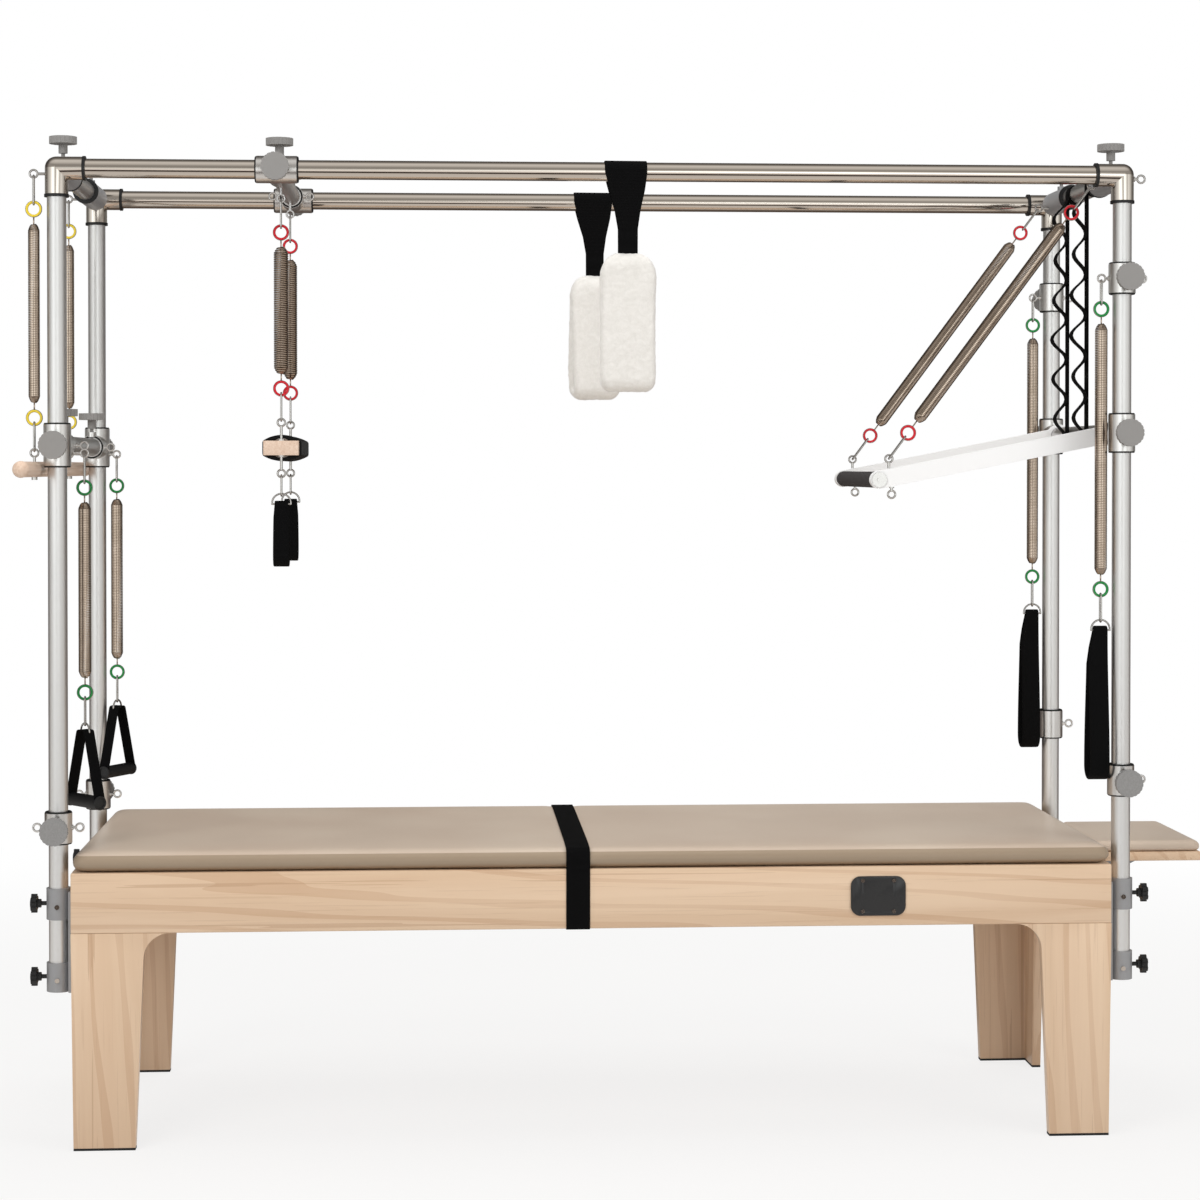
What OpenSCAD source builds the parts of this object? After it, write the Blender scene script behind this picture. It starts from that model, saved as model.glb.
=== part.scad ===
// Pilates trapeze table: a padded table with a tubular frame over it, a sliding
// trapeze, a push-through bar, spring handles, foot loops and fleece slings.
// The length runs along X, the front faces -Y and Z points up. Sizes in mm.

/* [Table] */
// Length of the wooden table
table_l = 2180; // [1900:10:2400]
// Width of the wooden table
table_w = 740; // [680:10:860]
// Height of the wooden table with its feet
table_h = 575; // [500:5:650]
// Height of the side boards
apron_h = 125; // [100:5:160]
// Thickness of the boards
board_t = 25; // [18:1:32]
// Width of a leg under the side board
leg_w = 149; // [110:1:190]
// Width of a leg along the end of the table
leg_end_w = 118; // [90:1:160]
// How much a leg narrows on its inner edge
leg_taper = 17; // [0:1:30]
// How much a leg narrows on its outer edge
leg_lean = 5; // [0:1:10]
// Radius where a leg meets its side board
arch_r = 55; // [30:1:70]
// Thickness of a rubber foot
foot_t = 5; // [3:1:10]
// Thickness of the deck under the mattress
deck_t = 18; // [12:1:24]
// Number of bearers under the deck
bearer_n = 4; // [2:1:6]
// Thickness of the mattress
pad_t = 45; // [35:1:70]
// Width of the webbing round the table
web_w = 50; // [35:1:60]
// Place of the webbing along the table
web_x = -40; // [-300:10:300]
// Width of the plaque
plaque_w = 116; // [80:1:140]
// Height of the plaque
plaque_h = 83; // [50:1:100]

/* [Extension] */
// Length of the board at the right end
ext_l = 235; // [180:5:300]
// Width of the board at the right end
ext_w = 340; // [280:5:420]
// Height of the top of its board
ext_z = 571; // [540:1:574]

/* [Frame] */
// Outer radius of the frame tubes
tube_r = 20; // [18:0.5:21]
// Wall of the frame tubes
tube_wall = 2; // [1.5:0.5:3]
// Distance of an upright's axis from the end of the table
post_out = 30; // [29:1:40]
// Distance of an upright's axis in from the side of the table
post_in = 44.5; // [20:0.5:55]
// Height of the top rails' axes
rail_z = 2034; // [1950:1:2100]
// Outer radius of the elbows
elbow_r = 24; // [23:0.5:26]
// Reach of an elbow from its corner
elbow_l = 54; // [50:1:70]
// Length of the sleeves at the frame's ends
end_sleeve_l = 190; // [140:5:220]
// Outer radius of the cross sleeves
cross_r = 27; // [25:0.5:28]
// Outer radius of the clamps
clamp_r = 28.5; // [27:0.5:30]
// Clearance between a clamp and its tube
slide_gap = 0.05; // [0.02:0.01:0.09]

/* [Clamps] */
// Place of the sliding trapeze carrier along the rails
slider_x = -666; // [-720:1:-500]
// Height of the left crossbar
cross_z = 1460; // [1440:1:1500]
// Distance of the push-through bar's crossbar below the top rails
bar_drop = 547; // [500:1:594]
// Length of a clamp with a cross sleeve
tee_l = 86; // [74:1:100]
// Length of a clamp on a post
post_clamp_l = 62; // [50:1:80]
// Height of the low clamp on the front left post
low_left_z = 665; // [655:1:668]
// Height of the low clamp on the rear left post
low_back_z = 655; // [653:1:660]
// Height of the low clamp on the front right post
low_front_z = 749; // [700:1:900]
// Height of the low clamp on the rear right post
low_rear_z = 806; // [700:1:900]
// Distance of the upper clamps on the right posts below the top rails
loop_drop = 219; // [204:1:254]

/* [Springs] */
// Length of a short spring's coil
coil_s = 270; // [220:5:320]
// Length of a middle spring's coil
coil_m = 369; // [300:5:400]
// Length of a long spring's coil
coil_l = 532; // [480:2:560]
// Outer radius of the heavy springs
coil_r = 13.5; // [11:0.5:15]
// Outer radius of the light springs
coil_light_r = 11; // [9:0.5:12]
// Radius of the springs' wire
coil_wire = 2.6; // [1.5:0.1:3]
// Curls of each spring
curls = 8; // [5:1:10]

/* [Hidden] */
$fn = 48;
eps = 0.3;                          // gap between pieces of different bodies
half_l = table_l/2;
half_w = table_w/2;
post_x = half_l + post_out;
post_y = half_w - post_in;
bar_z = rail_z - bar_drop;
loop_z = rail_z - loop_drop;
apron_z = table_h - apron_h;        // underside of the side boards
knob_reach = 77;                    // top of a clamp knob above its tube's axis
knob_disc_t = 15;
knob_disc_r = 29;
knob_hub_r = 9.5;
knob_pin_r = 4;
boss_r = 9;
boss_top = 34;                      // end of a knob's boss above the tube's axis
cross_reach = 100;                  // reach of a cross sleeve from the post's axis
knob_y = post_y - 98;               // place of the knobs on the cross sleeves
carriage_reach = 62;
star_reach = 58;
sleeve_z = [[apron_z - 125, apron_z - 65], [apron_z + 25, table_h - 35]];
star_z = [for (s = sleeve_z) (s[0] + s[1])/2];
socket_r = 25;
plate_t = post_out - socket_r + 2;
eye_r = 8;                          // eye bolt: mean radius, wire and shank
eye_wire = 2.2;
eye_neck = 9;
snap_wire = 2;
snap_r = 5.5;
snap_l = 60;
snap_short = 52;
link_gap = 0.2;
ring_r = 14.5;                      // coloured ring of a spring
ring_wire = 3;
tail = 14;                          // straight wire between a ring and its coil
hang = eye_r - eye_wire - snap_wire - link_gap;     // snap under the middle of an eye
ring_drop = ring_r - ring_wire - snap_wire - link_gap;
coil_drop = ring_r + ring_wire + tail + link_gap;
pull_x = -post_x + clamp_r + eye_neck + eye_r - 1;
pull_z = cross_z - 16;
pull_y = [-post_y + 85, post_y];
roll_x = -post_x - 47;
roll_y = [-post_y, 200];
roll_z = rail_z - 12;
roll_span = [-525, 475];            // ends of the wooden dowel
dowel_r = 16;
trap_y = 180;
trap_z = rail_z - tube_r - eye_neck - eye_r - 8;
loop_x = post_x - clamp_r - eye_neck - eye_r + 1;
bar_y = 250;                        // middle of each push arm
arm_h = 38;
arm_t = 20;
arm_l = 518;
arm_tilt = 11.1;                    // slope of the arms below the horizontal
bar_top = [post_x - cross_r - eye_neck - eye_r - 4, rail_z - 14];
function chain_l(snap, coil, snap2) = snap + 2*ring_drop + 2*coil_drop + coil + snap2;
bar_chain = chain_l(snap_l, coil_l, snap_l);
tip = [post_x - arm_l*cos(arm_tilt), bar_z - arm_l*sin(arm_tilt)];
bar_eye = [tip[0] + 22, tip[1] + arm_h/2 + 26];     // upper eye at a push arm's tip
bar_len = norm(bar_top - bar_eye);
bar_lean = atan2(bar_top[0] - bar_eye[0], bar_top[1] - bar_eye[1]);
bar_coil = coil_l + bar_len - bar_chain - hang;     // the coil takes up what is left
sling_x = [67, 36];
sling_top = rail_z - 164;
sling_l = 298;
sling_w = 116;
sling_t = 62;
left_reach = max(post_x + star_reach, -roll_x + ring_r + ring_wire);
ext_x = half_l + 15;
right_reach = ext_x + ext_l;
front_reach = -roll_span[0];
rear_reach = max(roll_span[1], post_y + knob_reach);
// the origin is on the floor, under the middle of the whole outline
module place()
    translate([(left_reach - right_reach)/2, (front_reach - rear_reach)/2, 0]) children();

// General shapes

module bar_x(x0, x1, r) translate([x0, 0, 0]) rotate([0, 90, 0]) cylinder(h = x1 - x0, r = r);
module bar_y(y0, y1, r) translate([0, y0, 0]) rotate([-90, 0, 0]) cylinder(h = y1 - y0, r = r);
module bar_z(z0, z1, r) translate([0, 0, z0]) cylinder(h = z1 - z0, r = r);
module torus(r, wire) rotate_extrude($fn = 24) translate([r, 0]) circle(r = wire, $fn = 14);

// an eye bolt that stands on z = 0 and ends in a ring in the XZ plane
module eye_bolt() {
    cylinder(h = eye_neck, r = 3, $fn = 24);
    cylinder(h = 2.5, r = 5.5, $fn = 24);
    translate([0, 0, eye_neck + eye_r - 1]) rotate([90, 0, 0]) torus(eye_r, eye_wire);
}
eye_height = eye_neck + eye_r - 1;

// a long link in the YZ plane between z = 0 and z = -length, between wire centres
module snap_link(length) {
    for (s = [-1, 1])
        translate([0, s*snap_r, -length + snap_r])
            cylinder(h = length - 2*snap_r, r = snap_wire, $fn = 14);
    translate([0, 0, -snap_r]) rotate([90, 0, 90])
        rotate_extrude(angle = 180, $fn = 24) translate([snap_r, 0]) circle(r = snap_wire, $fn = 14);
    translate([0, 0, -length + snap_r]) rotate([90, 0, 90]) rotate([0, 0, 180])
        rotate_extrude(angle = 180, $fn = 24) translate([snap_r, 0]) circle(r = snap_wire, $fn = 14);
}

// a coloured spring ring in the XZ plane, whose top hangs in a link that ends at z = 0
module spring_ring() translate([0, 0, -ring_drop]) rotate([90, 0, 0]) torus(ring_r, ring_wire);

// a D-shaped ring in the XZ plane, whose arc hangs in a link that ends at z = 0
dee_r = 20;
dee_small = 16;
dee_wire = 2;
module dee_ring(r = dee_r) {
    top = dee_wire + snap_wire + link_gap;
    translate([0, 0, top - r]) {
        rotate([90, 0, 0]) rotate_extrude(angle = 180, $fn = 24)
            translate([r, 0]) circle(r = dee_wire, $fn = 14);
        for (s = [-1, 1]) {
            translate([s*r, 0, -2]) cylinder(h = 2, r = dee_wire, $fn = 14);
            translate([s*r, 0, -2]) sphere(r = dee_wire, $fn = 14);
        }
        translate([0, 0, -2]) bar_x(-r, r, dee_wire);
    }
}
function dee_bar(r = dee_r) = dee_wire + snap_wire + link_gap - r - 2;      // height of its straight bar

// The coil: one unbroken tube along a helix whose ends come in to the axis

coil_steps = 8;
function coil_points(length, r, wire) =
    let (n = curls*coil_steps, run = length - 4*wire, rho = r - wire)
    concat([[0, 0, 0, 0]],
        [for (i = [0 : n]) let (t = i/n,
            in = min(1, min(t, 1 - t)*n/coil_steps*2))
            [i*360/coil_steps, rho*sin(90*in), -2*wire - run*t, 0]],
        [[n*360/coil_steps, 0, -length, 0]]);
function coil_at(p) = [p[1]*cos(p[0]), p[1]*sin(p[0]), p[2]];
function unit(v) = v/norm(v);
// the least gap between points half a curl or more apart, wire to wire
function coil_gap(pts, wire) = min([for (i = [0 : len(pts) - 1])
    for (j = [i + coil_steps/2 : 1 : min(len(pts) - 1, i + 2*coil_steps)])
        norm(pts[i] - pts[j]) - 2*wire]);
module coil(length, r, wire = coil_wire, name = "spring") {
    plan = coil_points(length, r, wire);
    pts = [for (p = plan) coil_at(p)];
    n = len(pts);
    sides = 6;
    rings = [for (i = [0 : n - 1]) let (
        along = (i == 0 || i == n - 1) ? [0, 0, -1] : unit(pts[i + 1] - pts[i - 1]),
        out = [cos(plan[i][0]), sin(plan[i][0]), 0],
        side = unit(cross(along, out)), up = cross(side, along))
        for (k = [0 : sides - 1]) pts[i] + wire*(cos(60*k)*up + sin(60*k)*side)];
    walls = [for (i = [0 : n - 2]) for (k = [0 : sides - 1]) let (
        a = i*sides + k, b = i*sides + (k + 1) % sides, c = a + sides, d = b + sides)
        each [[a, d, b], [a, c, d]]];
    caps = [for (k = [1 : sides - 2]) each [[0, k, k + 1],
        [(n - 1)*sides, (n - 1)*sides + k + 1, (n - 1)*sides + k]]];
    polyhedron(points = rings, faces = concat(walls, caps));
    echo(str("least gap of the ", name, " to itself in mm"), coil_gap(pts, wire));
}
// coil with its tails, its top ring's link ends at z = 0
module spring_coil(length, r, name) {
    translate([0, 0, -2*ring_drop + ring_drop - coil_drop]) {
        translate([0, 0, 0]) coil(length, r, name = name);
        bar_z(-0.5, tail, 1.6);
        bar_z(-length - tail, -length + 0.5, 1.6);
    }
}
function coil_end(length) = ring_drop + 2*coil_drop + length;   // down to the lower ring
// both rings of a spring, below a link that ends at z = 0
module spring_rings(length) {
    spring_ring();
    translate([0, 0, -coil_end(length) + ring_drop]) spring_ring();
}
function low_link(length) = coil_end(length) + ring_drop;       // top of the lower link

// Clamps and knobs

// a knob on the z axis; z = 0 is the tube's axis
module knob() {
    bar_z(tube_r + slide_gap + 0.5, knob_reach - 30, knob_pin_r);
    bar_z(boss_top + 8, knob_reach - knob_disc_t, knob_hub_r);
    difference() {
        bar_z(knob_reach - knob_disc_t, knob_reach, knob_disc_r);
        for (a = [0 : 18 : 359]) rotate(a) translate([knob_disc_r + 1.4, 0, knob_reach - knob_disc_t])
            translate([0, 0, -1]) cylinder(h = knob_disc_t + 2, r = 2.4, $fn = 16);
    }
}
module front_knob(side) rotate([side*90, 0, 0]) knob();       // towards -Y with side 1
module boss(side) rotate([side*90, 0, 0]) bar_z(tube_r + 3, boss_top, boss_r);
module boss_bore(side) rotate([side*90, 0, 0]) bar_z(0, boss_top + 1, knob_pin_r + slide_gap);

// a clamp with a cross sleeve; side 1 is a front clamp, whose sleeve runs to +Y
module tee_clamp(side, along_x, length, reach, top_knob = true) {
    difference() {
        union() {
            if (along_x) bar_x(-length/2, length/2, clamp_r);
            else bar_z(-length/2, length/2, clamp_r);
            rotate([0, 0, side > 0 ? 0 : 180]) bar_y(0, reach, cross_r);
            boss(side);
            if (top_knob) translate([0, side*(post_y - knob_y), 0]) {
                bar_z(tube_r + 3, boss_top, boss_r);
                for (s = [-1, 1]) rotate([0, s*90, 0]) translate([0, 0, cross_r - 0.5]) eye_bolt();
            }
        }
        if (along_x) bar_x(-length, length, tube_r + slide_gap);
        else bar_z(-length, length, tube_r + slide_gap);
        rotate([0, 0, side > 0 ? 0 : 180]) bar_y(clamp_r + 3, reach + 1, tube_r + slide_gap);
        boss_bore(side);
        if (top_knob) translate([0, side*(post_y - knob_y), 0])
            bar_z(0, boss_top + 1, knob_pin_r + slide_gap);
    }
}
cross_end = post_y - clamp_r - 3 - eps;     // half length of a cross tube
module cross_tube() difference() {
    bar_y(-cross_end, cross_end, tube_r);
    bar_y(-cross_end - 1, cross_end + 1, tube_r - tube_wall);
}
module tee_knobs(side) {
    front_knob(side);
    translate([0, side*(post_y - knob_y), 0]) knob();
}
// a clamp on a post, with its knob outwards and an eye bolt at each x direction asked for
module post_clamp(side, eyes) {
    difference() {
        union() {
            bar_z(-post_clamp_l/2, post_clamp_l/2, clamp_r);
            boss(side);
            for (s = eyes) translate([s*(clamp_r - 0.5), 0, 0]) rotate([0, s*90, 0]) eye_bolt();
        }
        bar_z(-post_clamp_l, post_clamp_l, tube_r + slide_gap);
        boss_bore(side);
    }
}
module at_post(sx, side, z) translate([sx*post_x, -side*post_y, z]) children();

// Table

module side_rails() color("burlywood") for (s = [-1, 1])
    translate([-half_l, s > 0 ? half_w - board_t : -half_w, apron_z]) cube([table_l, board_t, apron_h]);

module end_rails() color("burlywood") for (s = [-1, 1])
    translate([s > 0 ? half_l - board_t : -half_l, -half_w + board_t, apron_z])
        cube([board_t, table_w - 2*board_t, apron_h]);

function arc(cx, cy, r, a0, a1, n = 8) =
    [for (i = [0 : n]) let (a = a0 + (a1 - a0)*i/n) [cx + r*cos(a), cy + r*sin(a)]];
// outline of a leg board with its outer edge near x = 0 and its top at the side board
module leg_outline(width, lean) difference() {
    polygon([[0, apron_z], [width + arch_r, apron_z], [width + arch_r, apron_z - arch_r],
        [width, apron_z - arch_r], [width - leg_taper, foot_t], [lean, foot_t]]);
    translate([width + arch_r, apron_z - arch_r]) circle(r = arch_r);
}
module leg() {
    rotate([90, 0, 0]) translate([0, 0, -board_t]) linear_extrude(board_t) leg_outline(leg_w, leg_lean);
    translate([0, board_t, 0]) rotate([90, 0, 90]) linear_extrude(board_t)
        leg_outline(leg_end_w - board_t, 0);
}
module at_corners() for (sx = [-1, 1], sy = [-1, 1])
    translate([sx*half_l, sy*half_w, 0]) mirror([sx > 0 ? 1 : 0, 0, 0]) mirror([0, sy > 0 ? 1 : 0, 0])
        children();
module legs() color("burlywood") at_corners() difference() {
    leg();
    // the outer edge of the end board follows the lean of the side board
    translate([0, -1, 0]) rotate([90, 0, 0]) translate([0, 0, -leg_end_w - arch_r])
        linear_extrude(leg_end_w + arch_r + 2)
            polygon([[-1, foot_t - 1], [leg_lean*(1 + 1/apron_z), foot_t - 1], [0, apron_z], [-1, apron_z]]);
}

module rubber_feet() color([0.08, 0.08, 0.08]) at_corners() union() {
    translate([leg_lean, 0, 0]) cube([leg_w - leg_taper - leg_lean, board_t, foot_t]);
    translate([leg_lean, 0, 0]) cube([board_t - leg_lean, leg_end_w - leg_taper, foot_t]);
}

module deck_board() color("tan")
    translate([-half_l + board_t, -half_w + board_t, table_h - deck_t])
        cube([table_l - 2*board_t, table_w - 2*board_t, deck_t]);

bearer_w = 45;
bearer_h = 60;
module deck_bearers() color("tan") for (i = [1 : bearer_n])
    translate([-half_l + table_l*i/(bearer_n + 1) - bearer_w/2, -half_w + board_t,
        table_h - deck_t - bearer_h])
        cube([bearer_w, table_w - 2*board_t, bearer_h]);

// the mattress is drawn in at its lower edge, rolled at the upper one and crowned
pad_steps = [[5, 0], [0, 8], [0, 24], [4, 34], [14, 41], [70, 43.5], [150, 45]];
module rounded_slab(l, w, inset, r) hull() for (sx = [-1, 1], sy = [-1, 1])
    translate([sx*(l/2 - inset - r), sy*(w/2 - inset - r), 0]) cylinder(h = 0.2, r = r, $fn = 24);
module cushion(l, w, t, corner) hull() for (p = pad_steps)
    translate([0, 0, p[1]*t/45 - (p[1] > 0 ? 0.2 : 0)]) rounded_slab(l, w, p[0]*min(1, w/table_w), corner);
web_t = 2.2;
web_gap = 0.4;
web_sink = 2.6;                     // the tight webbing lies in a groove of the mattress
module mattress() color([0.72, 0.66, 0.57]) difference() {
    translate([0, 0, table_h]) cushion(table_l, table_w + 4, pad_t, 22);
    translate([web_x - web_w/2 - web_gap, 0, 0]) rotate([90, 0, 90])
        linear_extrude(web_w + 2*web_gap) difference() {
            translate([-table_w, table_h - 1]) square([2*table_w, 2*pad_t]);
            polygon(girth(web_gap/2, -web_sink));
        }
}

// outline in the YZ plane, a distance off the side boards and another off the mattress
function girth(off, rise) = let (w = (table_w + 4)/2,
    half = concat([[half_w + off, apron_z - off], [half_w + off, table_h + 26*pad_t/45]],
        [for (p = pad_steps) if (p[1] > 30) [w - p[0] + rise, table_h + p[1]*pad_t/45 + rise]]))
    concat(half, [for (i = [len(half) - 1 : -1 : 0]) [-half[i][0], half[i][1]]]);
module table_strap() color([0.08, 0.08, 0.08]) translate([web_x - web_w/2, 0, 0])
    rotate([90, 0, 90]) linear_extrude(web_w) difference() {
        polygon(girth(web_gap + web_t, web_t + 0.2 - web_sink));
        polygon(girth(web_gap, 0.2 - web_sink));
    }

plaque_x = 592;
plaque_z = 513;
plaque_t = 3;
plaque_bolt = [66, 65];             // spacing of its screws
module plaque() color([0.06, 0.06, 0.06]) translate([plaque_x, -half_w, plaque_z])
    rotate([90, 0, 0]) linear_extrude(plaque_t) difference() {
        hull() for (sx = [-1, 1], sz = [-1, 1])
            translate([sx*(plaque_w/2 - 20), sz*(plaque_h/2 - 20)]) circle(r = 20, $fn = 32);
        for (sx = [-1, 1], sz = [-1, 1])
            translate([sx*plaque_bolt[0]/2, sz*plaque_bolt[1]/2]) circle(r = 2.05, $fn = 24);
    }
module screws() color("silver") {
    for (sx = [-1, 1], sz = [-1, 1])
        translate([plaque_x + sx*plaque_bolt[0]/2, -half_w, plaque_z + sz*plaque_bolt[1]/2])
            rotate([90, 0, 0]) {
                cylinder(h = plaque_t, r = 2, $fn = 24);
                translate([0, 0, plaque_t]) cylinder(h = 1.6, r = 4.2, $fn = 24);
            }
    // the bolts through the sockets' sleeves
    for (sx = [-1, 1], side = [-1, 1], z = star_z) at_post(sx, side, z - 5)
        rotate([side*90, 0, 0]) translate([0, 0, socket_r + 0.1]) cylinder(h = 3, r = 5, $fn = 24);
}

module extension_board() color("burlywood")
    translate([ext_x, -ext_w/2, ext_z - 20]) cube([ext_l, ext_w, 20]);
module extension_pad() color([0.72, 0.66, 0.57])
    translate([ext_x + ext_l/2, 0, ext_z]) cushion(ext_l, ext_w, 26, 14);
// two angles carry the board on the table's end
bracket_y = 110;
bracket_h = 70;
module extension_brackets() color("gray") for (s = [-1, 1])
    translate([half_l, s*bracket_y - 20, ext_z - 20]) {
        translate([0, 0, -bracket_h]) cube([4, 40, bracket_h]);
        translate([0, 0, -4]) cube([ext_x - half_l + ext_l*0.6, 40, 4]);
        translate([0, 18, 0]) rotate([90, 0, 0]) translate([0, 0, -4]) linear_extrude(4)
            polygon([[3, -3], [ext_l*0.55, -3], [3, -bracket_h + 6]]);
    }

// Frame

post_top = rail_z - elbow_r;
module uprights() color("silver") for (sx = [-1, 1], side = [-1, 1]) at_post(sx, side, 0)
    difference() {
        bar_z(sleeve_z[0][0], post_top, tube_r);
        bar_z(sleeve_z[0][0] - 1, post_top + 1, tube_r - tube_wall);
    }

module sockets() color("gray") for (sx = [-1, 1], side = [-1, 1]) at_post(sx, side, 0)
    difference() {
        union() {
            translate([sx > 0 ? -post_out : post_out - plate_t, -27, sleeve_z[0][0]])
                cube([plate_t, 54, sleeve_z[1][1] - sleeve_z[0][0] - 6]);
            for (s = sleeve_z) bar_z(s[0], s[1], socket_r);
        }
        bar_z(0, table_h, tube_r + slide_gap);
    }

module star_knobs() color([0.07, 0.07, 0.07])
    for (sx = [-1, 1], side = [-1, 1], z = star_z) at_post(sx, side, z) rotate([0, sx*90, 0]) {
        bar_z(socket_r, 44, 4.5);
        bar_z(36, star_reach, 9);
        difference() {
            bar_z(44, star_reach - 2, 19.5);
            for (a = [0 : 60 : 359]) rotate(a + 30) translate([22, 0, 40]) cylinder(h = 30, r = 6.5, $fn = 24);
        }
    }

module top_rails() color("lightgray") for (s = [-1, 1])
    translate([0, s*post_y, rail_z]) difference() {
        bar_x(-post_x + elbow_r, post_x - elbow_r, tube_r);
        bar_x(-post_x, post_x, tube_r - tube_wall);
    }

module elbows() color("lightgray") for (sx = [-1, 1], side = [-1, 1])
    at_post(sx, side, rail_z) difference() {
        union() {
            sphere(r = elbow_r);
            rotate([0, 0, sx > 0 ? 180 : 0]) bar_x(0, elbow_l, elbow_r);
            bar_z(-elbow_l, 0, elbow_r);
        }
        rotate([0, 0, sx > 0 ? 180 : 0]) bar_x(elbow_r, elbow_l + 1, tube_r + slide_gap);
        bar_z(-elbow_l - 1, -elbow_r, tube_r + slide_gap);
    }

bush_t = 6;
module bush(r) difference() {
    cylinder(h = bush_t, r = r);
    translate([0, 0, -1]) cylinder(h = bush_t + 2, r = tube_r + slide_gap);
}
module elbow_bushes() color([0.06, 0.06, 0.06]) for (sx = [-1, 1], side = [-1, 1])
    at_post(sx, side, rail_z) {
        translate([0, 0, -elbow_l - bush_t]) bush(elbow_r + 1.5);
        translate([-sx*elbow_l, 0, 0]) rotate([0, -sx*90, 0]) bush(elbow_r + 1.5);
        translate([0, side*end_sleeve_l, 0]) rotate([-side*90, 0, 0]) bush(cross_r + 1.5);
    }

module end_tubes() color("silver") for (sx = [-1, 1]) translate([sx*post_x, 0, rail_z])
    difference() {
        bar_y(-post_y + elbow_r + 3, post_y - elbow_r - 3, tube_r);
        bar_y(-post_y, post_y, tube_r - tube_wall);
    }

module end_sleeves() color("darkgray") for (sx = [-1, 1], side = [-1, 1])
    at_post(sx, side, rail_z) difference() {
        union() {
            rotate([0, 0, side > 0 ? 0 : 180]) bar_y(elbow_r - 1, end_sleeve_l, cross_r);
            translate([0, side*(post_y - knob_y), 0]) bar_z(tube_r + 3, boss_top, boss_r);
        }
        rotate([0, 0, side > 0 ? 0 : 180]) bar_y(elbow_r + 2.7, end_sleeve_l + 1, tube_r + slide_gap);
        sphere(r = elbow_r);
        bar_z(-elbow_l, 0, elbow_r);
        bar_x(-elbow_l, elbow_l, elbow_r);
        translate([0, side*(post_y - knob_y), 0]) bar_z(0, boss_top + 1, knob_pin_r + slide_gap);
    }

module frame_knobs() color("gray") {
    for (sx = [-1, 1], side = [-1, 1]) at_post(sx, side, rail_z)
        translate([0, side*(post_y - knob_y), 0]) knob();
    for (side = [-1, 1]) {
        at_post(1, side, bar_z) front_knob(side);
        at_post(1, side, loop_z) front_knob(side);
    }
}

module frame_eyes() color("lightgray") {
    for (y = roll_y) translate([roll_x, y, roll_z]) {
        rotate([90, 0, 0]) torus(eye_r, eye_wire);
        bar_x(eye_r, -roll_x - post_x - (y < 0 ? elbow_r : 25.5) - eps, 3);
    }
    for (s = [-1, 1]) translate([bar_top[0], s*bar_y, bar_top[1]]) {
        rotate([90, 0, 0]) torus(eye_r, eye_wire);
        bar_x(eye_r, post_x - bar_top[0] - 24.7 - eps, 3);
    }
    translate([post_x + elbow_r + eps, -post_y, rail_z - 8]) rotate([0, 90, 0]) eye_bolt();
}

module carriage_clamps() color("silver") for (side = [-1, 1]) {
    at_post(1, side, bar_z) tee_clamp(side, false, tee_l - 8, carriage_reach, false);
    at_post(1, side, loop_z) post_clamp(side, [-1, 1]);
}
module carriage_tube() color("silver") translate([post_x, 0, bar_z]) cross_tube();

// Ladder straps: webbing with loops sewn on, hung over the right end tube

strap_t = 2;
ladder_l = rail_z - bar_z - 2;
ladder_turns = 6;
ladder_wave = 30;
module ladder(sgn) {
    n = 10*ladder_turns;
    mid = [for (i = [0 : n]) let (t = i/n)
        [sgn*(strap_t + 0.2 + ladder_wave*(1 - cos(360*ladder_turns*t))/2), -ladder_l*t - 12]];
    polygon(concat(mid, [for (i = [n : -1 : 0]) mid[i] + [sgn*strap_t, 0]]));
    polygon([[0, 6], [sgn*(strap_t + 0.3), 6], [sgn*(strap_t + 0.3), -ladder_l - 12],
        [0, -ladder_l - 12]]);
}
module ladder_strap(width, sgn) {
    ring = tube_r + eps;
    translate([0, -width/2, 0]) rotate([90, 0, 0]) translate([0, 0, -width])
        linear_extrude(width) {
            difference() {
                circle(r = ring + strap_t);
                circle(r = ring);
            }
            translate([sgn*(ring + 0.1), 0]) ladder(sgn);
        }
}
module ladder_straps() color([0.07, 0.07, 0.07]) for (y = [-100, 80])
    translate([post_x, y, rail_z]) ladder_strap(38, -1);

// Push-through bar

module at_bar() translate([post_x, 0, bar_z]) rotate([0, -arm_tilt, 0]) children();
module push_arms() color("white") at_bar() for (s = [-1, 1]) translate([0, s*bar_y, 0])
    difference() {
        union() {
            bar_y(-arm_t/2, arm_t/2, tube_r + 7);
            translate([-arm_l, -arm_t/2, -arm_h/2]) cube([arm_l, arm_t, arm_h]);
            translate([-arm_l, 0, 0]) bar_y(-arm_t/2, arm_t/2, arm_h/2);
        }
        bar_y(-arm_t, arm_t, tube_r + slide_gap);
        translate([-arm_l, 0, 0]) bar_y(-arm_t, arm_t, 6.05);
    }
module push_grip() color([0.2, 0.2, 0.2]) at_bar() translate([-arm_l, 0, 0]) difference() {
    bar_y(-bar_y + arm_t/2, bar_y - arm_t/2, 17);
    bar_y(-bar_y, bar_y, 6.05);
}
// the rod through the grip, with its end caps, and the eyes on the arms
module push_fittings() color("silver") {
    at_bar() translate([-arm_l, 0, 0]) {
        bar_y(-bar_y - arm_t/2, bar_y + arm_t/2, 6);
        for (s = [-1, 1]) translate([0, s*(bar_y + arm_t/2), 0]) rotate([-s*90, 0, 0]) {
            cylinder(h = 3, r = 16);
            cylinder(h = 5, r = 5, $fn = 24);
        }
    }
    for (s = [-1, 1]) {
        translate([bar_eye[0], s*bar_y, bar_eye[1]]) {
            rotate([90, 0, 0]) torus(eye_r, eye_wire);
            translate([0, 0, -eye_r]) bar_z(-12.4, 0, 3);
        }
        translate([bar_eye[0] + 6, s*bar_y, tip[1] - arm_h/2 + 3.7]) rotate([180, 0, 0]) eye_bolt();
    }
}

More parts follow.
